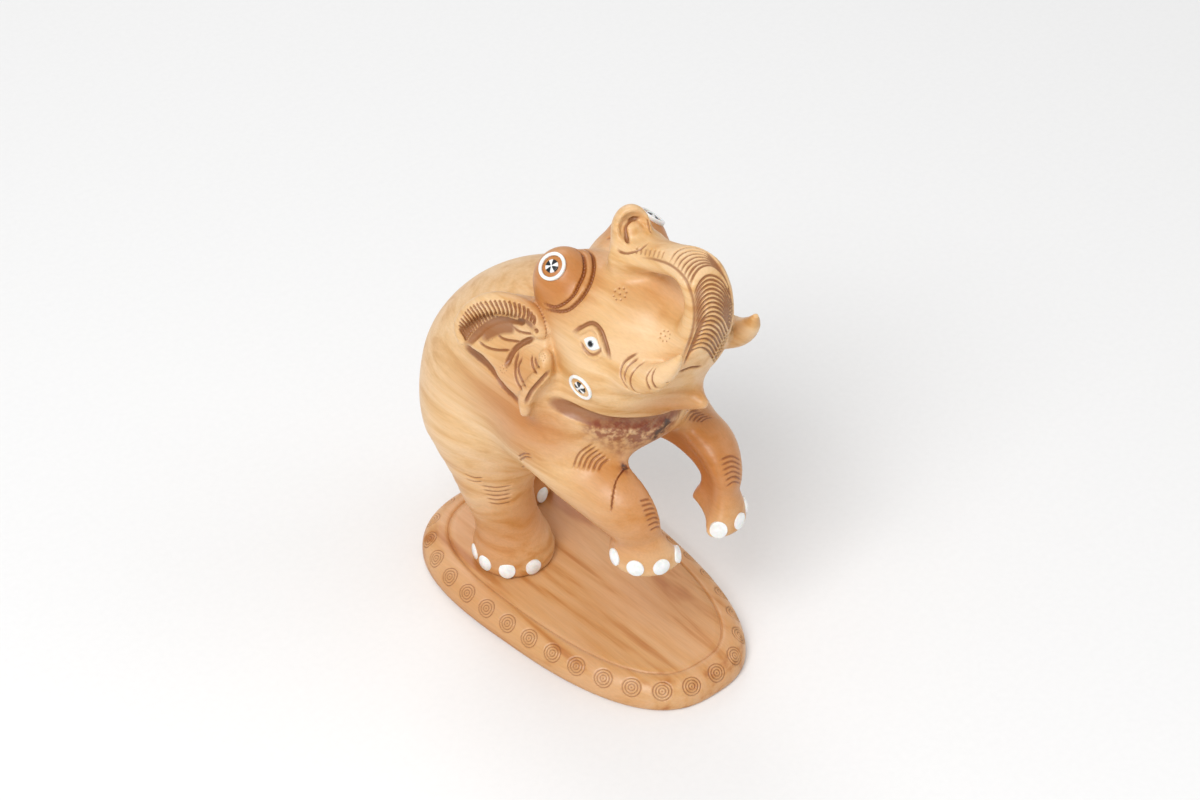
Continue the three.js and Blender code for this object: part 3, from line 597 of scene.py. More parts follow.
class Carver:
    """Lays strokes on a mesh and cuts them into it, in millimetres."""

    widest_gap = 9
    # Cut depth at which the painted shade in a cut is full
    painted_shade_depth = 0.55
    cut_margin = 0.8

    def __init__(self, made: bpy.types.Object, view: Photograph) -> None:
        """Keeps the mesh and a tree of its faces.

        Args:
            made: The mesh to carve.
            view: The photograph's view, for strokes placed by its pixels.
        """
        self.made = made
        self.view = view
        faces = [tuple(p.vertices) for p in made.data.polygons]
        self.tree = BVHTree.FromPolygons(points_of(made).tolist(), faces)
        self.strokes: list[Stroke] = []

    def seen(self, pixels: Sequence[Pixel], steps: int = 6) -> Array:
        """Returns the surface points under a smooth line through pixels of the photograph."""
        eye = Vector(self.view.position())
        rows = []
        for pixel in smooth_knots(pixels, steps):
            hit = self.tree.ray_cast(eye, Vector(self.view.ray(tuple(pixel))))[0]
            if hit is not None and (not rows or np.linalg.norm(np.array(hit) - rows[-1]) < self.widest_gap):
                rows.append(np.array(hit))
        if len(rows) < 2:
            raise ValueError(f"a stroke at {pixels[0]} misses the piece")
        return np.array(rows)

    def onto(self, points: Array) -> Array:
        """Returns the surface points nearest to points in millimetres."""
        return np.array([self.tree.find_nearest(Vector(p))[0] for p in points])

    def at(self, pixel: Pixel) -> Array:
        """Returns the surface point under a pixel of the photograph."""
        return self.seen([pixel, (pixel[0] + 1, pixel[1])])[0]

    def add(self, path: Array, half_width: float, depth: float, both: bool = True, **facts: object) -> None:
        """Adds a stroke, and its mirror image on the other side of the figure.

        Args:
            path: Points on the surface.
            half_width: Half the cut's width in millimetres.
            depth: Its depth in the middle.
            both: Whether the other side has it too.
            **facts: Further fields of the stroke.
        """
        paths = [path, self.onto(path * np.array([-1, 1, 1]))] if both else [path]
        self.strokes.extend(Stroke(each, half_width, depth, **facts) for each in paths)

    def line(
        self, pixels: Sequence[Pixel], half_width: float, depth: float, both: bool = True, **facts: object,
    ) -> None:
        """Adds a stroke along a smooth line through pixels of the photograph."""
        self.add(self.seen(pixels), half_width, depth, both, **facts)

    def drill(self, centre: Array, radius: float, depth: float, both: bool = True) -> None:
        """Adds a small drilled dot."""
        self.add(np.array([centre, centre + 1e-3]), radius, depth, both, fade=False)

    def fan(
        self, first: Sequence[Pixel], last: Sequence[Pixel], count: int, half_width: float, depth: float,
        both: bool = True, tail: float = 0.0,
    ) -> None:
        """Adds a row of strokes that passes evenly from one line of pixels to another.

        Args:
            first: Pixels of the first stroke.
            last: As many pixels of the last one.
            count: Number of strokes.
            half_width: Half the cut's width in millimetres.
            depth: Its depth in the middle.
            both: Whether the other side has them too.
            tail: Length by which each goes on over the skin beyond its last seen point.
        """
        a, b = np.array(first, float), np.array(last, float)
        for i in range(count):
            path = self.seen([tuple(q) for q in a + (b - a) * i / max(count - 1, 1)])
            if tail and len(path) > 3:
                way = path[-1] - path[-4]
                way /= max(np.linalg.norm(way), TINY)
                for _ in range(3):
                    path = np.vstack([path, self.onto((path[-1] + way * tail / 3)[None])])
            self.add(path, half_width, depth, both)

    def refine(self, margin: float) -> None:
        """Halves the faces near the strokes so that they can hold them."""
        points = points_of(self.made)
        near = np.zeros(len(points), bool)
        for stroke in self.strokes:
            near[stroke.close_to(points, margin + stroke.half_width)] = True
        select_where(self.made, near)
        edit(self.made)
        bpy.ops.mesh.subdivide(number_cuts=1)
        bpy.ops.object.mode_set(mode="OBJECT")

    def cut(self) -> None:
        """Moves the vertices by the strokes' depths and stores how deep each lies, which paints shade into
        the cuts.
        """
        points, normals = points_of(self.made), normals_of(self.made)
        depth, lift = np.zeros((2, len(points)))
        for stroke in self.strokes:
            where = stroke.close_to(points, stroke.half_width + self.cut_margin)
            if len(where):
                value = stroke.profile(points[where])
                depth[where] = np.maximum(depth[where], value)
                lift[where] = np.minimum(lift[where], value)
        set_points(self.made, points - normals * (depth + lift)[:, None])
        # The stored depth darkens the cuts as painted shade
        set_attribute(self.made, "carve", np.clip(depth / self.painted_shade_depth, 0, 1))


# Colours and materials


def linear(tone: str) -> tuple[float, float, float, float]:
    """Turns an sRGB hex colour into the linear values that the shader reads."""
    parts = [int(tone[i : i + 2], 16) / 255 for i in (1, 3, 5)]
    red, green, blue = (c / 12.92 if c <= 0.04045 else ((c + 0.055) / 1.055) ** 2.4 for c in parts)
    return red, green, blue, 1.0


def add_node(tree: bpy.types.NodeTree, kind: str, **facts) -> bpy.types.ShaderNode:
    """Adds a node with its settings and links.

    Args:
        tree: The material's tree.
        kind: The node's type, without its ShaderNode.
        **facts: Properties of the node, or inputs by name, with underscores for spaces, or by number after
            an i. An input is given a value, or the socket or node (by its first output) it is linked to.

    Returns:
        The node.
    """
    node = tree.nodes.new("ShaderNode" + kind)
    for key, value in facts.items():
        if hasattr(node, key):
            setattr(node, key, value)
            continue
        socket = node.inputs[int(key[1:]) if key[1:].isdigit() else key.replace("_", " ")]
        if isinstance(value, bpy.types.Node):
            value = value.outputs[0]
        if isinstance(value, bpy.types.NodeSocket):
            tree.links.new(value, socket)
        else:
            socket.default_value = value
    return node


def new_material(name: str) -> tuple[bpy.types.Material, bpy.types.NodeTree]:
    """Returns an empty material and its tree."""
    made = bpy.data.materials.new(name)
    made.use_nodes = True
    made.node_tree.nodes.clear()
    return made, made.node_tree


@dataclass(frozen=True)
class CarvedWood:
    """Pale plantation hardwood, carved by hand, sanded and waxed.

    The wax gives a satin sheen, the wood faint long pores, soft growth bands and a warm heart colour that
    also stands as painted shade on the legs, the chest and the belly. Cut lines are darkened to brown by
    their depth as painted shade.
    """

    name: str = "waxed_carved_hardwood"
    pale: str = "#e6c091"
    middle: str = "#d8a869"
    warm: str = "#b56615"
    band: str = "#a85f2b"
    # Dark brown laid into the cuts by their depth: painted shade
    groove: str = "#7e3c12"
    stain_and_shade: str = "#7a2c0c"
    bark: str = "#3a322c"
    band_spacing: float = 9.0
    band_share: float = 0.2
    pore_width: float = 0.3
    patch_size: float = 2.0
    grain_lean: Point = (0.12, 0.0, 0.16)
    roughness: float = 0.36

    def material(self) -> bpy.types.Material:
        """Returns the finish, which reads Object coordinates and the carved attributes."""
        made, tree = new_material(self.name)
        where = add_node(tree, "TexCoord").outputs["Object"]
        # Growth bands run along the figure, so the pattern is drawn out tenfold that way and leans a little
        drawn = add_node(tree, "Mapping", i0=where, Rotation=self.grain_lean, Scale=(1.0, 0.1, 1.6))
        drift = add_node(tree, "TexNoise", Vector=drawn, Scale=30.0, Detail=2.0)
        bent = add_node(
            tree, "VectorMath", operation="MULTIPLY_ADD", i0=drift.outputs["Color"], i1=(0.03,) * 3,
            i2=drawn,
        )
        bands = add_node(
            tree, "TexNoise", Vector=bent, Scale=1 / (self.band_spacing * MM), Detail=3.0, Roughness=0.55,
        )
        broad = add_node(tree, "TexNoise", Vector=where, Scale=26.0, Detail=2.0)
        # Pores 0.3 mm wide and about 5 mm long
        long = add_node(tree, "Mapping", i0=where, Rotation=self.grain_lean, Scale=(1.0, 0.06, 1.0))
        pores = add_node(
            tree, "TexNoise", Vector=long, Scale=0.5 / (self.pore_width * MM), Detail=2.0, Roughness=0.6,
        )
        # Warm colour: partly the wood's own, partly painted shade on the legs, the chest, the belly and under
        # the ears, jaw and trunk
        warmth_and_shade = add_node(tree, "Attribute", attribute_name="warmth_and_shade")
        lean = add_node(tree, "Math", operation="MULTIPLY_ADD", i0=broad.outputs["Fac"], i1=0.5, i2=-0.25)
        heat = add_node(tree, "Math", operation="ADD", use_clamp=True, i0=warmth_and_shade.outputs["Fac"], i1=lean)
        shade = add_node(tree, "MapRange", Value=bands.outputs["Fac"], From_Min=0.38, From_Max=0.66)
        base = add_node(tree, "Mix", data_type="RGBA", i0=shade, i6=linear(self.pale), i7=linear(self.middle))
        warmed = add_node(tree, "Mix", data_type="RGBA", i0=heat, i6=base.outputs[2], i7=linear(self.warm))
        stripe = add_node(
            tree, "MapRange", Value=bands.outputs["Fac"], From_Min=0.54, From_Max=0.68,
            To_Max=self.band_share,
        )
        banded = add_node(
            tree, "Mix", data_type="RGBA", i0=stripe, i6=warmed.outputs[2], i7=linear(self.band),
        )
        streak = add_node(
            tree, "MapRange", Value=pores.outputs["Fac"], From_Min=0.35, From_Max=0.72, To_Min=1.02,
            To_Max=0.93,
        )
        grained = add_node(tree, "VectorMath", operation="SCALE", i0=banded.outputs[2], Scale=streak)
        tone = grained.outputs[0]
        # Bark and the red-brown heart colour, partly painted shade under the jaw, break up into patches about
        # 2 mm across
        mottle = add_node(tree, "TexNoise", Vector=where, Scale=1 / (self.patch_size * MM), Detail=4.0)
        patchy = add_node(
            tree, "MapRange", Value=mottle.outputs["Fac"], From_Min=0.36, From_Max=0.6, To_Min=0.35,
            To_Max=1.3,
        )
        # Painted shade in the cuts by their depth, the red-brown colour that is partly painted shade under
        # the jaw, and bark
        for attribute, colour, start, full, most, breaks in (
            ("carve", self.groove, 0.2, 0.95, 0.74, 1.0),
            ("stain_and_shade", self.stain_and_shade, 0.05, 0.95, 0.8, patchy.outputs[0]),
            ("bark", self.bark, 0.15, 0.8, 0.85, patchy.outputs[0]),
        ):
            value = add_node(tree, "Attribute", attribute_name=attribute)
            broken = add_node(tree, "Math", operation="MULTIPLY", i0=value.outputs["Fac"], i1=breaks)
            share = add_node(tree, "MapRange", Value=broken, From_Min=start, From_Max=full, To_Max=most)
            tone = add_node(tree, "Mix", data_type="RGBA", i0=share, i6=tone, i7=linear(colour)).outputs[2]
        rough = add_node(
            tree, "MapRange", Value=pores.outputs["Fac"], To_Min=self.roughness - 0.04,
            To_Max=self.roughness + 0.14,
        )
        bump = add_node(tree, "Bump", Height=pores.outputs["Fac"], Strength=0.1, Distance=0.0001)
        shader = add_node(
            tree, "BsdfPrincipled", Base_Color=tone, Roughness=rough, Normal=bump, IOR=1.47,
            Subsurface_Weight=0.03, Subsurface_Scale=0.002, Coat_Weight=0.12, Coat_Roughness=0.3,
        )
        add_node(tree, "OutputMaterial", Surface=shader)
        return made


@dataclass(frozen=True)
class PolishedBone:
    """White bone-like inlay, filed to the skin and buffed: glossy, with faint clouds under the surface."""

    name: str = "polished_white_bone"
    pale: str = "#f1f2f1"
    cloud: str = "#dfe0dc"
    cloud_size: float = 2.0

    def material(self) -> bpy.types.Material:
        """Returns the finish."""
        made, tree = new_material(self.name)
        where = add_node(tree, "TexCoord").outputs["Object"]
        clouds = add_node(tree, "TexNoise", Vector=where, Scale=1 / (self.cloud_size * MM), Detail=3.0)
        share = add_node(tree, "MapRange", Value=clouds.outputs["Fac"], From_Min=0.35, From_Max=0.75)
        tone = add_node(tree, "Mix", data_type="RGBA", i0=share, i6=linear(self.pale), i7=linear(self.cloud))
        rough = add_node(tree, "MapRange", Value=clouds.outputs["Fac"], To_Min=0.18, To_Max=0.32)
        shader = add_node(
            tree, "BsdfPrincipled", Base_Color=tone.outputs[2], Roughness=rough, IOR=1.54,
            Subsurface_Weight=0.12, Subsurface_Scale=0.001,
        )
        add_node(tree, "OutputMaterial", Surface=shader)
        return made


@dataclass(frozen=True)
class PetalInlay:
    """Round inlay pieced from black horn and white bone petals and polished, drawn in its own flat frame."""

    name: str = "horn_and_bone_petals"
    black: str = "#1b2024"
    white: str = "#eceded"
    petals: int = 4
    black_share: float = 0.56
    hub: float = 0.16

    def material(self) -> bpy.types.Material:
        """Returns the finish, which reads each point's place on the disc in shares of its radius."""
        made, tree = new_material(self.name)
        flat = add_node(tree, "Attribute", attribute_name="flat").outputs["Vector"]
        parts = add_node(tree, "SeparateXYZ", Vector=flat)
        angle = add_node(tree, "Math", operation="ARCTAN2", i0=parts.outputs["Y"], i1=parts.outputs["X"])
        turns = add_node(tree, "Math", operation="MULTIPLY", i0=angle, i1=float(self.petals))
        wave = add_node(tree, "Math", operation="COSINE", i0=turns)
        radius = add_node(tree, "VectorMath", operation="LENGTH", i0=flat)
        edge = math.cos(math.pi * self.black_share)
        leaf = add_node(tree, "MapRange", Value=wave, From_Min=edge - 0.14, From_Max=edge + 0.14)
        hub = add_node(tree, "Math", operation="GREATER_THAN", i0=radius.outputs["Value"], i1=self.hub)
        dark = add_node(tree, "Math", operation="MULTIPLY", i0=leaf, i1=hub)
        tone = add_node(tree, "Mix", data_type="RGBA", i0=dark, i6=linear(self.white), i7=linear(self.black))
        where = add_node(tree, "TexCoord").outputs["Object"]
        speck = add_node(tree, "TexNoise", Vector=where, Scale=900.0)
        rough = add_node(tree, "MapRange", Value=speck.outputs["Fac"], To_Min=0.2, To_Max=0.4)
        shader = add_node(tree, "BsdfPrincipled", Base_Color=tone.outputs[2], Roughness=rough, IOR=1.54)
        add_node(tree, "OutputMaterial", Surface=shader)
        return made


@dataclass(frozen=True)
class HornPupil:
    """Black polished horn with a thin grey filler ring round it: a wet, dark gloss."""

    name: str = "black_horn_pupil"
    black: str = "#141619"
    grey: str = "#8f9498"
    ring_from: float = 0.74

    def material(self) -> bpy.types.Material:
        """Returns the finish."""
        made, tree = new_material(self.name)
        flat = add_node(tree, "Attribute", attribute_name="flat").outputs["Vector"]
        radius = add_node(tree, "VectorMath", operation="LENGTH", i0=flat)
        share = add_node(
            tree, "MapRange", Value=radius.outputs["Value"], From_Min=self.ring_from - 0.05,
            From_Max=self.ring_from + 0.05,
        )
        tone = add_node(tree, "Mix", data_type="RGBA", i0=share, i6=linear(self.black), i7=linear(self.grey))
        shader = add_node(tree, "BsdfPrincipled", Base_Color=tone.outputs[2], IOR=1.54, Roughness=0.16)
        add_node(tree, "OutputMaterial", Surface=shader)
        return made


@dataclass(frozen=True)
class BackdropPaper:
    """Matt white studio paper: no gloss, with a barely visible tooth."""

    name: str = "matt_backdrop_paper"
    light: str = "#efefef"
    shade: str = "#ebebeb"

    def material(self) -> bpy.types.Material:
        """Returns the finish."""
        made, tree = new_material(self.name)
        where = add_node(tree, "TexCoord").outputs["Object"]
        tooth = add_node(tree, "TexNoise", Vector=where, Scale=400.0, Detail=2.0)
        tone = add_node(
            tree, "Mix", data_type="RGBA", i0=tooth.outputs["Fac"], i6=linear(self.light),
            i7=linear(self.shade),
        )
        shader = add_node(
            tree, "BsdfPrincipled", Base_Color=tone.outputs[2], Roughness=0.95, Specular_IOR_Level=0.1,
        )
        add_node(tree, "OutputMaterial", Surface=shader)
        return made


# Pieces


@dataclass(frozen=True)
class Warmth:
    """A soft patch of colour, used for the wood's own colour and for painted shade: centre and radii in
    millimetres above the ground, and how strong.
    """

    at: Point
    radii: Point
    share: float

    def share_at(self, points: Array) -> Array:
        """Returns the share at each point, soft towards the edge."""
        far = (((points - np.array(self.at)) / np.array(self.radii)) ** 2).sum(-1)
        return self.share * np.exp(-(far**1.5))


@dataclass
class Elephant:
    """The carved figure in one piece.

    Its skin is netted from one distance field, because the real one is carved from one block: every limb
    flows into the next with a rounded valley that joined primitives can't give.
    """

    figure: Figure
    view: Photograph
    step: float = 1.1
    low: Point = (-50, -76, -4)
    high: Point = (50, 90, 172)
    fine_margins: tuple[float, ...] = (1.6, 0.7)
    fine_reach: float = 0.3
    bark_depth: float = 0.3
    # Warmer wood, partly its own colour and partly painted shade: the lower legs, chest, belly, under the
    # ears, jaw and trunk
    warm_and_shaded_places: tuple[Warmth, ...] = (
        Warmth((-16, -8, 150), (15, 14, 14), 0.95), Warmth((16, -8, 150), (15, 14, 14), 0.95),
        Warmth((-18, -36, 76), (14, 26, 22), 0.8), Warmth((18, -36, 76), (14, 26, 22), 0.95),
        Warmth((0, -26, 84), (26, 22, 16), 0.8), Warmth((-15, 27, 24), (19, 20, 40), 0.75),
        Warmth((10, 50, 24), (19, 20, 40), 0.75), Warmth((0, -46, 118), (16, 14, 8), 0.6),
        Warmth((-30, -4, 100), (14, 26, 13), 0.7), Warmth((30, -4, 100), (14, 26, 13), 0.7),
        Warmth((0, -34, 152), (14, 12, 10), 0.35), Warmth((-34, -6, 118), (8, 12, 14), 0.35),
        Warmth((34, -6, 118), (8, 12, 14), 0.35), Warmth((0, 10, 62), (26, 30, 12), 0.4),
    )

    def build(self) -> bpy.types.Object:
        """Nets the figure's skin, carves it and returns it."""
        low = np.array(self.low, float)
        blocks = np.ceil((self.high - low) / (BLOCK * self.step)).astype(int)
        values = band_values(self.figure.distance, low, blocks, self.step)
        points, quads = net_of(values, low, self.step)
        points = drawn_onto(self.figure.distance, points, self.step / 2)
        made = mesh_object("carved_elephant", points + GROUND, quads)
        carver = Carver(made, self.view)
        for lay in (self.trunk_lines, self.face_lines, self.jaw_hollow_and_shade, self.knob_lines, self.ear_lines,
                    self.leg_lines):
            lay(carver)
        for margin in self.fine_margins:
            carver.refine(margin)
            fine = points_of(made) - GROUND
            set_points(made, drawn_onto(self.figure.distance, fine, self.fine_reach) + GROUND)
        carver.cut()
        self.colour(made, carver)
        made.data.shade_smooth()
        faces = sum(len(p.vertices) - 2 for p in made.data.polygons)
        LOG.info("skin: %d triangles", faces)
        if faces > MOST_TRIANGLES:
            thin = made.modifiers.new("thin", "DECIMATE")
            thin.ratio = MOST_TRIANGLES / faces
            select_only(made)
            bpy.ops.object.modifier_apply(modifier=thin.name)
        return made

    def trunk_lines(self, carver: Carver) -> None:
        """Arches nested over the trunk's outer face between two ridges, and the mouth's slit."""
        lowest = [(684, 365), (690, 353), (700, 348), (708, 351), (713, 358)]
        middle = [(694, 338), (704, 318), (714, 312), (724, 317), (729, 328)]
        upper = [(693, 298), (701, 281), (711, 275), (723, 281), (731, 296)]
        carver.fan(lowest, middle, 9, 0.5, 0.7, both=False, tail=9)
        carver.fan(middle, upper, 9, 0.5, 0.7, both=False, tail=9)
        outer = [(669, 262), (677, 251), (690, 247), (705, 251), (717, 262), (726, 278), (731, 294)]
        inner = [(689, 287), (694, 275), (701, 267), (711, 265), (720, 271), (727, 281), (731, 294)]
        carver.fan(outer, inner, 7, 0.5, 0.7, both=False, tail=7)
        carver.fan([(637, 247), (636, 254)], [(664, 251), (661, 259)], 7, 0.45, 0.4, both=False)
        ridge = carver.seen(
            [(640, 257), (654, 259), (670, 265), (683, 276), (690, 290), (694, 306), (694, 322), (691, 337),
             (684, 356), (679, 368)],
        )
        carver.add(ridge, 0.7, 0.5)
        carver.line([(680, 372), (691, 368), (701, 367)], 0.8, 0.9)
        carver.line([(666, 383), (684, 381), (703, 377)], 0.6, 0.4)

    def face_lines(self, carver: Carver) -> None:
        """Eyelids, tusk sockets, dome collars and rosettes."""
        carver.line([(573, 332), (582, 327), (592, 323), (600, 329), (605, 341), (610, 359)], 0.9, 0.75)
        lid = [(577, 336), (584, 331), (592, 328), (598, 333), (601, 343), (605, 355)]
        carver.line(lid, 1.0, 1.1, cut=Cut.RIDGE)
        carver.line([(580, 341), (585, 350), (592, 355), (599, 352), (603, 346)], 0.7, 0.5)
        carver.line([(581, 346), (588, 356), (595, 359), (602, 355)], 0.7, 0.4, cut=Cut.RIDGE)
        for line in (
            [(638, 353), (624, 362), (620, 374), (624, 384), (629, 390)],
            [(638, 358), (628, 366), (624, 375), (625, 382)],
            [(645, 361), (637, 367), (631, 375), (630, 384), (634, 391), (640, 394)],
            [(653, 367), (648, 373), (646, 379), (648, 386), (651, 391)],
            [(656, 367), (652, 374), (652, 381), (655, 387), (659, 389)],
        ):
            carver.line(line, 0.55, 0.6)
        inner = [(576, 249), (583, 255), (585, 265), (584, 274), (580, 283), (572, 297), (557, 307),
                 (544, 304)]
        outer = [(584, 248), (592, 255), (594, 265), (592, 278), (587, 290), (578, 302), (565, 311),
                 (546, 310)]
        middle = [((a[0] + b[0]) / 2, (a[1] + b[1]) / 2) for a, b in zip(inner, outer)]
        carver.line(middle, 1.5, 0.5, cut=Cut.RIDGE)
        for line in (inner, outer):
            carver.line(line, 0.75, 1.0, cut=Cut.DOTS)
        for pixel, radius in (((620, 294), 2.1), ((665, 336), 1.75), ((489, 337.5), 1.2), ((503, 369), 1.3),
                              ((542, 357), 1.2)):
            self.rosette(carver, pixel, radius)

    def jaw_hollow_and_shade(self, carver: Carver) -> None:
        """The hollow under the cheek and the jaw, which sets the head off from the chest; its depth paints it
        dark as painted shade.
        """
        edge = [(556, 404), (570, 410), (590, 418), (614, 423), (638, 423), (662, 417), (680, 411)]
        carver.line(edge, 3.4, 1.8)

    def rosette(self, carver: Carver, pixel: Pixel, radius: float) -> None:
        """Drills eight dots round a ninth.

        Args:
            carver: The carver of the skin.
            pixel: The middle in the photograph.
            radius: The ring's radius in millimetres.
        """
        centre = carver.at(pixel)
        normal = self.figure.normals((centre - GROUND)[None])[0]
        side = np.cross(normal, [0, 0, 1.0])
        side /= np.linalg.norm(side)
        rise = np.cross(normal, side)
        carver.drill(centre, 0.2 * radius, 0.6)
        for angle in np.arange(8) * math.pi / 4:
            spot = centre + (side * math.cos(angle) + rise * math.sin(angle)) * radius
            carver.drill(carver.onto(spot[None])[0], 0.19 * radius, 0.6)

    def knob_lines(self, carver: Carver) -> None:
        """The C-shaped nostril groove and the slits in the trunk's rolled end."""
        carver.line([(639, 218), (632, 219.5), (626, 225), (625, 232), (628, 243)], 0.8, 0.9, both=False)
        carver.line([(647, 219), (648, 225), (650, 230.5), (653, 233)], 0.5, 0.5, both=False)
        carver.line([(617, 249), (621, 252), (628, 253), (639, 249.5), (648, 243)], 0.6, 0.6, both=False)

    def ear_lines(self, carver: Carver) -> None:
        """Pleats over the rolled rim, each ending in a drilled dot, and the folds of the leaf, with cuts that
        paint shade under the rim, under the lower lobe and below the ear.
        """
        outer = smooth_knots(
            [(459.7, 330), (459.8, 323), (463, 316), (467, 310), (473, 305.5), (480, 302.7), (489.7, 301.2),
             (499, 300.8), (509, 301.6), (519, 304), (528, 309), (534, 316)], 6,
        )
        inner = smooth_knots(
            [(467, 341), (470, 336), (474, 332), (479, 328), (484, 325), (490, 321.5), (497, 319.5),
             (504, 318.5), (511, 318.5), (518, 319.5), (526, 321), (533, 325)], 6,
        )
        pleats = 23
        for i in range(pleats):
            k = round(i * (len(outer) - 1) / (pleats - 1))
            start, end = outer[k], inner[k]
            bow = (start + end) / 2 + np.array([1.2, 0])
            path = carver.seen([tuple(start), tuple(bow), tuple(end)])
            carver.add(path, 0.62, 1.0)
            carver.drill(path[0], 0.55, 0.8)
        # Hollow under the rim, darkened by its depth as the painted shadow of the rim
        hollow = [(468, 344), (475, 336), (483, 329), (493, 323), (504, 320.5), (515, 320.5), (525, 323),
                  (533, 328)]
        carver.line(hollow, 1.7, 1.2)
        leaf = [(480, 337), (490, 331), (502, 327), (514, 327)]
        carver.line(leaf, 3.0, 0.8)
        border = [(535.5, 302), (540, 309), (545, 321), (547, 333), (545.3, 340)]
        carver.line(border, 0.5, 0.45, cut=Cut.DOTS)
        carver.drill(carver.at((536, 331)), 1.0, 1.0)
        for line in (
            [(511, 326), (517.5, 331), (524, 333), (531.6, 334)],
            [(496, 334), (503.4, 339), (513, 341), (520.6, 342)],
            [(478, 341), (486, 347), (497, 350), (510, 350)],
            [(520, 351), (516, 363), (515, 374), (517.5, 383), (522, 390)],
            [(522, 357), (518, 367.5), (520.6, 378), (526, 388)],
            [(531.6, 355), (531.6, 363), (534, 370), (537, 374)],
            [(534.7, 357), (536, 364), (539.4, 368)],
        ):
            carver.line(line, 0.55, 0.7)
        # The lower lobe's edge, cut dark as the painted shadow it casts on the upper lobe
        lobe = [(533, 339), (524, 342.5), (517.5, 347), (513, 352), (509, 359), (506, 366)]
        carver.line(lobe, 1.3, 1.2)
        raised = [(536, 341), (527, 345), (521, 350), (517, 356), (513, 366)]
        carver.line(raised, 1.2, 0.7, cut=Cut.RIDGE)
        edge = [(549, 372), (540, 382), (531.6, 392), (526, 403)]
        carver.line(edge, 1.0, 1.0)
        # A cut on the body along the ear's lower edge: painted shadow of the ear
        under = [(466, 346), (478, 356), (488, 365), (496, 375), (503, 386), (513, 396), (521, 406)]
        carver.line(under, 1.6, 1.3)

    def leg_lines(self, carver: Carver) -> None:
        """Wrinkles at the knees, elbows and hocks, and the crack down the right front leg."""
        fans = (
            ([(481, 486), (496, 488), (511, 486)], [(489, 503), (499, 504.5), (511, 502)], 5),
            ([(464, 474), (474, 478), (483, 478)], [(466, 479), (474, 482), (482, 482)], 2),
            ([(573, 468), (579, 454), (593, 444)], [(598, 471), (602, 464), (609, 459)], 6),
            ([(640, 501), (652, 499), (664, 505)], [(650, 531), (658, 527), (664, 529)], 7),
            ([(518, 457), (524, 454), (531, 455)], [(522, 468), (528, 464), (535, 465)], 4),
            ([(678, 420), (683, 410), (692, 406)], [(700, 422), (706, 418), (712, 417)], 7),
            ([(720, 460), (732, 456), (742, 461)], [(726, 487), (735, 482), (743, 485)], 6),
        )
        for first, last, count in fans:
            carver.fan(first, last, count, 0.5, 0.5, both=False)
        crack = carver.seen([(626, 467), (617, 479), (614, 489), (612, 502), (611, 512)])
        jagged = crack + np.outer(np.sin(np.arange(len(crack)) * 2.4), [0.25, 0, 0.25])
        carver.add(carver.onto(jagged), 0.34, 0.8, both=False)
        knot = carver.at((625, 466))
        carver.drill(knot, 1.5, 0.5, both=False)
        carver.drill(carver.onto((knot + np.array([0.9, 0, -0.7]))[None])[0], 0.7, 0.8, both=False)
        # The far hind leg has its wrinkles on the outer side, as the near one has
        chain = smooth_knots(self.figure.hind_left, 4)
        for height in (36, 40, 44, 48):
            core = chain[np.argmin(np.abs(chain[:, 2] - height))]
            turn = np.radians(np.linspace(-50, 5, 7))
            ring = np.stack([np.cos(turn), np.sin(turn), np.zeros(7)], 1) * core[3]
            path = np.array([core[0], core[1], height]) + ring + GROUND
            carver.add(carver.onto(path), 0.5, 0.5, both=False)

    def patch(self, carver: Carver, pixel: Pixel, size: float, share: float) -> Warmth:
        """Returns a round place of colour on the skin under a pixel of the photograph."""
        centre = carver.at(pixel)
        return Warmth(tuple(centre), (size,) * 3, share)

    def colour(self, made: bpy.types.Object, carver: Carver) -> None:
        """Stores where the wood is warm, partly as painted shade, where it is red-brown, partly as painted
        shade under the jaw, and where it is barky.
        """
        points = points_of(made)
        set_attribute(made, "warmth_and_shade", np.max([place.share_at(points) for place in self.warm_and_shaded_places], 0))
        # Red-brown bark on the chest, laid under the jaw also as painted shade
        reddish_and_shaded = [self.patch(carver, *spot).share_at(points) for spot in (
            ((598, 431), 5.0, 0.85), ((618, 434), 6.5, 0.95), ((640, 436), 6.5, 1.0), ((660, 430), 5.5, 1.0),
            ((625, 468), 2.6, 0.7), ((622, 446), 4.5, 0.6), ((670, 423), 4.0, 0.8),
        )]
        grey = [self.patch(carver, *spot).share_at(points) for spot in (
            ((660, 432), 2.6, 0.9), ((667, 424), 2.2, 0.8), ((655, 437), 2.2, 0.7), ((625, 467), 1.3, 0.9),
        )]
        set_attribute(made, "stain_and_shade", np.max(reddish_and_shaded, 0))
        set_attribute(made, "bark", np.max(grey, 0))
        self.roughen(made, np.max(reddish_and_shaded[1:4], 0))

    def roughen(self, made: bpy.types.Object, share: Array) -> None:
        """Roughens the chest where the block's bark was left, by each point's share."""
        points, normals = points_of(made), normals_of(made)
        # Waves from about 1 to 3 mm long, bent by one another
        x, y, z = points.T * 1.1
        relief = np.sin(x * 2.1 + np.sin(z * 1.7)) * np.sin(z * 2.6 + np.sin(y * 1.3))
        relief += 0.5 * np.sin(x * 4.7 + z * 3.9)
        set_points(made, points - normals * (self.bark_depth * share * (0.6 + relief * 0.5))[:, None])


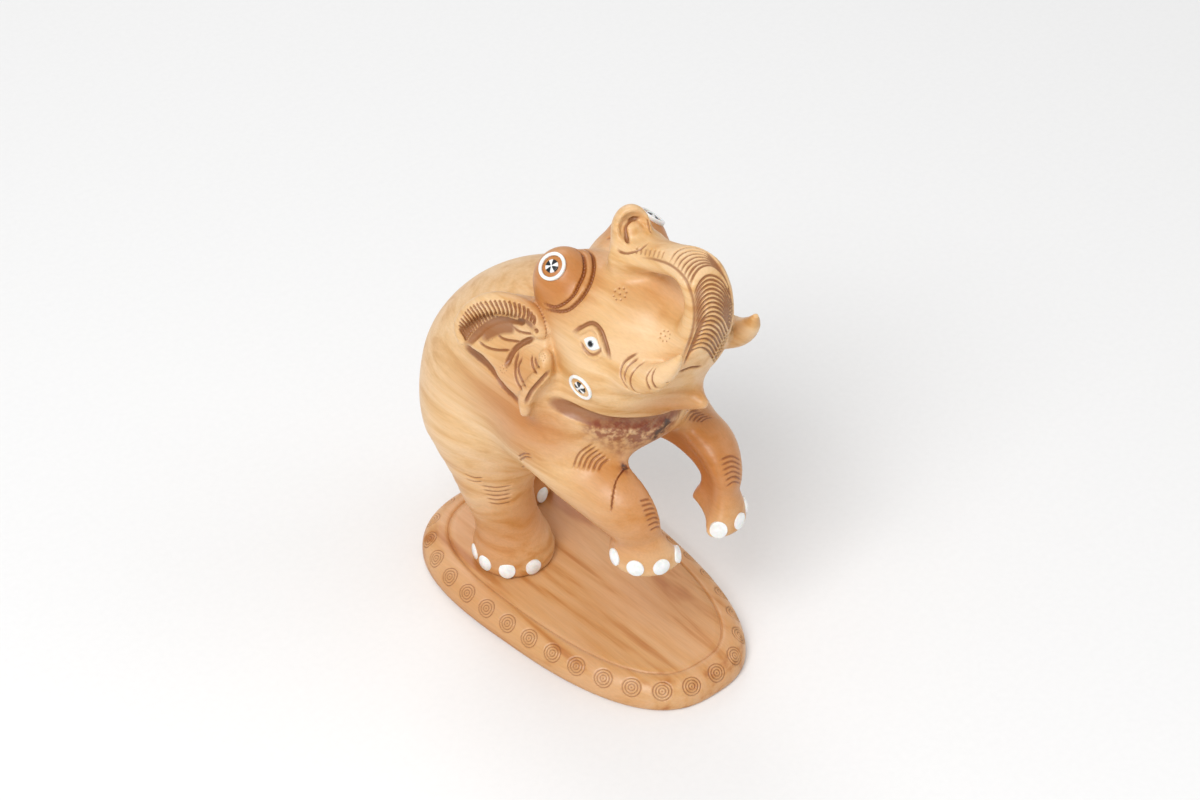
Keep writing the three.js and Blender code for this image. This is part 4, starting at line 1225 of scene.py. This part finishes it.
@dataclass
class Plinth:
    """Egg-shaped slab with a rounded shoulder, an incised line and a row of ring motifs."""

    length: float = 134.0
    width: float = 77.0
    thickness: float = 9.5
    bevel: float = 7.0
    taper: float = 0.15
    squareness: float = 2.7
    line_depth: float = 0.5
    line_width: float = 1.1
    side_share: float = 0.2
    motifs: int = 32
    first_motif: float = 0.444
    motif_inset: float = 2.1
    motif_rings: tuple[float, ...] = (0.0, 1.15, 2.2, 3.25)
    cut_half_width: float = 0.3
    dot_extra: float = 0.2
    cut_depth: float = 0.42
    painted_shade_depth: float = 0.46
    line_painted_shade: float = 0.45
    warmth_and_shade: float = 0.42
    sides: int = 1200
    shoulder_steps: int = 34
    line_steps: int = 9
    top_step: float = 4.0
    top_margin: float = 3.0
    line_inset: float = 1.0
    foot: tuple[tuple[float, float], ...] = ((1.0, 0.0), (0.3, 0.25), (0.0, 0.9))

    def ring(self, inset: float, count: int) -> Array:
        """Returns the outline in the plane, drawn in by an inset."""
        angle = np.linspace(0, 2 * math.pi, count, endpoint=False)
        c, s = np.cos(angle), np.sin(angle)
        reach = (np.abs(c) ** self.squareness + np.abs(s) ** self.squareness) ** (-1 / self.squareness)
        along = (self.length / 2 - inset) * reach * s
        across = (self.width / 2 - inset) * reach * c * (1 + self.taper * along / (self.length / 2))
        return np.stack([across, along], 1)

    def profile(self) -> list[tuple[float, float]]:
        """Returns inset and height in steps from the underside, round the shoulder and over the top."""
        rows = list(self.foot)
        for turn in np.linspace(0, math.pi / 2, self.shoulder_steps):
            rows.append((self.bevel * (1 - math.cos(turn)), self.shoulder_height(turn)))
        start = self.bevel + self.line_inset
        for t in np.linspace(0, 1, self.line_steps):
            dip = self.line_depth * math.sin(math.pi * t) ** 1.5
            rows.append((start + self.line_width * t, self.thickness - dip))
        top = np.arange(start + self.top_margin, self.width / 2 - self.top_margin, self.top_step)
        rows.extend((inset, self.thickness) for inset in top)
        return rows

    def shoulder_height(self, turn: float) -> float:
        """Returns the shoulder's height at a turn from its foot, in radians."""
        return self.thickness * (self.side_share + (1 - self.side_share) * math.sin(turn))

    def build(self) -> bpy.types.Object:
        """Returns the slab, drawn up from its outline ring by ring, and carved."""
        rows = self.profile()
        bpy.ops.object.select_all(action="DESELECT")
        bpy.ops.mesh.primitive_circle_add(vertices=self.sides, radius=MM, fill_type="NGON")
        made = added("oval_plinth")
        set_points(made, np.column_stack([self.ring(rows[0][0], self.sides), np.zeros(self.sides)]))
        edit(made, everything=True)
        for (last, low), (inset, high) in zip(rows[:-1], rows[1:]):
            bpy.ops.mesh.extrude_region_move(TRANSFORM_OT_translate={"value": (0, 0, (high - low) * MM)})
            scale = [(half - inset) / (half - last) for half in (self.width / 2, self.length / 2)]
            bpy.ops.transform.resize(value=(*scale, 1), center_override=(0, 0, 0))
        bpy.ops.mesh.select_all(action="SELECT")
        bpy.ops.mesh.normals_make_consistent(inside=False)
        bpy.ops.object.mode_set(mode="OBJECT")
        self.carve(made)
        made.data.shade_smooth()
        return made

    def carve(self, made: bpy.types.Object) -> None:
        """Cuts the ring motifs into the shoulder and stores how deep each point lies, as painted shade."""
        points, normals = points_of(made), normals_of(made)
        path = self.ring(self.motif_inset, self.sides)
        turn = math.acos(1 - self.motif_inset / self.bevel)
        height = self.shoulder_height(turn)
        steps = np.linalg.norm(np.diff(np.vstack([path, path[:1]]), axis=0), axis=1)
        run = np.concatenate([[0], np.cumsum(steps)])
        depth = np.zeros(len(points))
        for k in range(self.motifs):
            at = run[-1] * (k + self.first_motif) / self.motifs
            centre = np.append(path[np.searchsorted(run, at) % len(path)], height)
            gap = np.linalg.norm(points - centre, axis=1)
            for radius in self.motif_rings:
                half = self.cut_half_width + (self.dot_extra if radius == 0 else 0)
                depth = np.maximum(depth, self.cut_depth * np.clip(1 - ((gap - radius) / half) ** 2, 0, 1))
        depth[points[:, 2] < 1.5] = 0
        set_points(made, points - normals * depth[:, None])
        # The motifs and the incised line are darkened by their depth as painted shade
        sunk = np.clip((self.thickness - 0.04 - points[:, 2]) / self.line_depth, 0, 1)
        outer = self.ring(self.bevel + 0.6, self.sides)
        inside = outline_distance(points[:, 0], points[:, 1], outer[::10]) < 0
        line = np.where(inside & (points[:, 2] > self.thickness - self.line_depth - 0.1), sunk, 0)
        tone = np.maximum(depth / self.painted_shade_depth, line * self.line_painted_shade)
        set_attribute(made, "carve", np.clip(tone, 0, 1))
        set_attribute(made, "warmth_and_shade", np.full(len(points), self.warmth_and_shade))


@dataclass
class Inlays:
    """Nails, medallions and eyes, each let into the figure where its CAD node lies."""

    figure: Figure
    bone: bpy.types.Material
    petals: bpy.types.Material
    pupil: bpy.types.Material
    nail_radius: float = 2.95
    nail_rise: float = 0.75
    ring_radii: tuple[float, float] = (4.75, 3.6)
    flower_radius: float = 2.2
    pupil_radius: float = 1.15
    eye_radii: Point = (3.2, 2.2, 1.1)
    nail_top: float = 0.1
    ring_top: float = 0.05
    flower_top: float = 0.25
    eye_top: float = -0.1
    pupil_sunk: float = 0.2
    disc_sides: int = 36
    dome_steps: tuple[float, ...] = (0.06, 0.16, 0.3, 0.48, 0.68, 0.86)
    step_share: float = 0.14

    def spot(self, node: str) -> tuple[Array, Array]:
        """Returns the skin's point and direction at a CAD node."""
        low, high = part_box(node)
        point = (np.array((low + high) / 2) / MM - GROUND)[None]
        for _ in range(4):
            point = drawn_onto(self.figure.distance, point, 2.0)
        return point[0] + GROUND, self.figure.normals(point)[0]

    def stood(self, made: bpy.types.Object, at: Array, way: Array, top: float) -> None:
        """Turns a piece made face up at the origin to a direction, and lets it in.

        Args:
            made: The piece.
            at: Point of the skin under it.
            way: The skin's direction there.
            top: How far its rim's top stands over the skin, in millimetres.
        """
        across = np.array([0, 1.0, 0]) - way * way[1]
        across /= np.linalg.norm(across)
        turn = Matrix([[*row] for row in np.stack([across, np.cross(way, across), way], 1)]).to_4x4()
        made.data.transform(Matrix.Translation(Vector(at + way * top) * MM) @ turn)
        made.data.update()

    def disc(self, name: str, radius: float, rise: float, deep: float = 1.4) -> bpy.types.Object:
        """Returns a domed disc with its rim's top at the origin's height.

        Args:
            name: The piece's name.
            radius: Its radius in millimetres.
            rise: Height of the dome over the rim.
            deep: How far the disc reaches below its rim.

        Returns:
            The piece, with each point's place kept as shares of the radius.
        """
        bpy.ops.object.select_all(action="DESELECT")
        bpy.ops.mesh.primitive_cylinder_add(
            vertices=self.disc_sides, radius=radius * MM, depth=deep * MM, end_fill_type="NGON",
            location=(0, 0, -deep / 2 * MM),
        )
        made = added(name, location=True, rotation=False)
        select_where(made, points_of(made)[:, 2] > -0.01)
        edit(made)
        last = 0.0
        for share in self.dome_steps:
            height = math.sqrt(1 - (1 - share) ** 2)
            bpy.ops.mesh.inset(thickness=radius * self.step_share * MM, depth=(height - last) * rise * MM)
            last = height
        bpy.ops.object.mode_set(mode="OBJECT")
        select_only(made)
        bpy.ops.object.shade_smooth_by_angle(angle=math.radians(50))
        place = made.data.attributes.new("flat", "FLOAT_VECTOR", "POINT")
        place.data.foreach_set("vector", (points_of(made) * np.array([1, 1, 0]) / radius).ravel())
        return made

    def ring(self, name: str) -> bpy.types.Object:
        """Returns a ring with a softly crowned face, spun from its section."""
        outer, inner = self.ring_radii
        bpy.ops.object.select_all(action="DESELECT")
        bpy.ops.mesh.primitive_circle_add(
            vertices=12, radius=(outer - inner) / 2 * MM, location=((outer + inner) / 2 * MM, 0, 0),
            rotation=(math.pi / 2, 0, 0),
        )
        made = added(name, location=True, rotation=True)
        points = points_of(made)
        points[:, 2] *= np.where(points[:, 2] < 0, 2.2, 0.6)
        set_points(made, points)
        edit(made, everything=True)
        bpy.ops.mesh.spin(steps=64, angle=2 * math.pi, center=(0, 0, 0), axis=(0, 0, 1))
        bpy.ops.mesh.select_all(action="SELECT")
        bpy.ops.mesh.remove_doubles(threshold=1e-6)
        bpy.ops.mesh.normals_make_consistent(inside=False)
        bpy.ops.object.mode_set(mode="OBJECT")
        made.data.shade_smooth()
        return made

    def nails(self) -> None:
        """Makes the sixteen toenails."""
        for foot in ("hind_right", "hind_left", "front_right", "front_left"):
            for i in range(1, 5):
                node = f"{foot}_nail_{i}"
                at, way = self.spot(node)
                made = self.disc(f"bone_{node}", self.nail_radius, self.nail_rise, deep=2.2)
                self.stood(made, at, way, self.nail_top)
                finish_piece(made, self.bone, node)

    def medallions(self) -> None:
        """Makes the four medallions' rings and flowers."""
        for spot in ("dome_right", "dome_left", "cheek_right", "cheek_left"):
            at, way = self.spot(f"{spot}_flower")
            ring = self.ring(f"bone_{spot}_ring")
            self.stood(ring, at, way, self.ring_top)
            finish_piece(ring, self.bone, f"{spot}_ring")
            flower = self.disc(f"petal_{spot}_flower", self.flower_radius, 0.25)
            self.stood(flower, at, way, self.flower_top)
            finish_piece(flower, self.petals, f"{spot}_flower")

    def eyes(self) -> None:
        """Makes the almond whites and their pupils."""
        for side in ("right", "left"):
            at, way = self.spot(f"eye_{side}")
            bpy.ops.object.select_all(action="DESELECT")
            bpy.ops.mesh.primitive_uv_sphere_add(segments=40, ring_count=20, radius=MM)
            white = added(f"bone_eye_{side}")
            points = points_of(white)
            points[:, 1] *= np.sqrt(np.clip(1 - points[:, 0] ** 2, 0.02, 1))
            set_points(white, points * np.array(self.eye_radii))
            white.data.shade_smooth()
            self.stood(white, at, way, self.eye_top)
            finish_piece(white, self.bone, f"eye_{side}")
            pupil = self.disc(f"black_pupil_{side}", self.pupil_radius, 0.3, deep=0.8)
            self.stood(pupil, at, way, self.eye_radii[2] - self.pupil_sunk)
            finish_piece(pupil, self.pupil, f"pupil_{side}")


@dataclass(frozen=True)
class Lamp:
    """A soft box: place and size in metres, and its power in watts."""

    name: str
    place: Point
    size: float
    power: float


@dataclass
class Studio:
    """Pale seamless floor, soft lights and the camera of the photograph."""

    view: Photograph
    paper: bpy.types.Material
    surround: float = 0.55
    aim: Point = (0, 0, 0.08)
    floor_size: float = 8.0
    floor_gap: float = 0.0002
    clip: tuple[float, float] = (0.05, 20.0)
    lamps: tuple[Lamp, ...] = (
        Lamp("key", (-0.75, -0.35, 1.0), 0.6, 10.4),
        Lamp("fill", (0.9, -0.7, 0.7), 0.9, 2.5),
        Lamp("rim", (0.4, 0.9, 0.9), 0.6, 3.0),
    )

    def floor(self) -> None:
        """Lays the paper floor."""
        bpy.ops.object.select_all(action="DESELECT")
        bpy.ops.mesh.primitive_plane_add(size=self.floor_size, location=(0, 0, -self.floor_gap))
        made = added("studio_floor")
        made.data.materials.append(self.paper)

    def lights(self) -> None:
        """Hangs the lamps, each aimed at the figure, in a pale surround."""
        world = bpy.data.worlds.new("studio_surround")
        bpy.context.scene.world = world
        world.use_nodes = True
        sky = world.node_tree.nodes["Background"]
        sky.inputs["Color"].default_value = linear("#ffffff")
        sky.inputs["Strength"].default_value = self.surround
        for lamp in self.lamps:
            light = bpy.data.lights.new(lamp.name, "AREA")
            light.size = lamp.size
            light.energy = lamp.power
            hung = bpy.data.objects.new(lamp.name, light)
            hung.location = lamp.place
            aim = Vector(self.aim) - Vector(lamp.place)
            hung.rotation_euler = aim.to_track_quat("-Z", "Y").to_euler()
            bpy.context.scene.collection.objects.link(hung)

    def camera(self) -> None:
        """Sets the camera where the photograph was taken from."""
        lens = bpy.data.cameras.new("photograph")
        lens.lens = self.view.lens
        lens.sensor_width = self.view.sensor
        lens.clip_start, lens.clip_end = self.clip
        eye = bpy.data.objects.new("photograph", lens)
        turn = Matrix([[*row] for row in np.stack(self.view.axes(), 1)]).to_4x4()
        eye.matrix_world = Matrix.Translation(Vector(self.view.position()) * MM) @ turn
        bpy.context.scene.collection.objects.link(eye)
        bpy.context.scene.camera = eye
        bpy.context.scene.view_settings.view_transform = "Standard"

    def build(self) -> None:
        """Sets the whole studio."""
        self.camera()
        self.floor()
        self.lights()


def main() -> None:
    """Builds every piece in order."""
    logging.basicConfig(level=logging.INFO, format="%(name)s: %(message)s")
    view = Photograph()
    figure = Figure()
    wood = CarvedWood().material()
    Studio(view, BackdropPaper().material()).build()
    finish_piece(Elephant(figure, view).build(), wood, "elephant")
    banded = CarvedWood(name="waxed_banded_hardwood", band_share=0.6, band_spacing=7.0).material()
    finish_piece(Plinth().build(), banded, "base")
    inlays = Inlays(figure, PolishedBone().material(), PetalInlay().material(), HornPupil().material())
    inlays.nails()
    inlays.medallions()
    inlays.eyes()


if __name__ == "__main__":
    main()
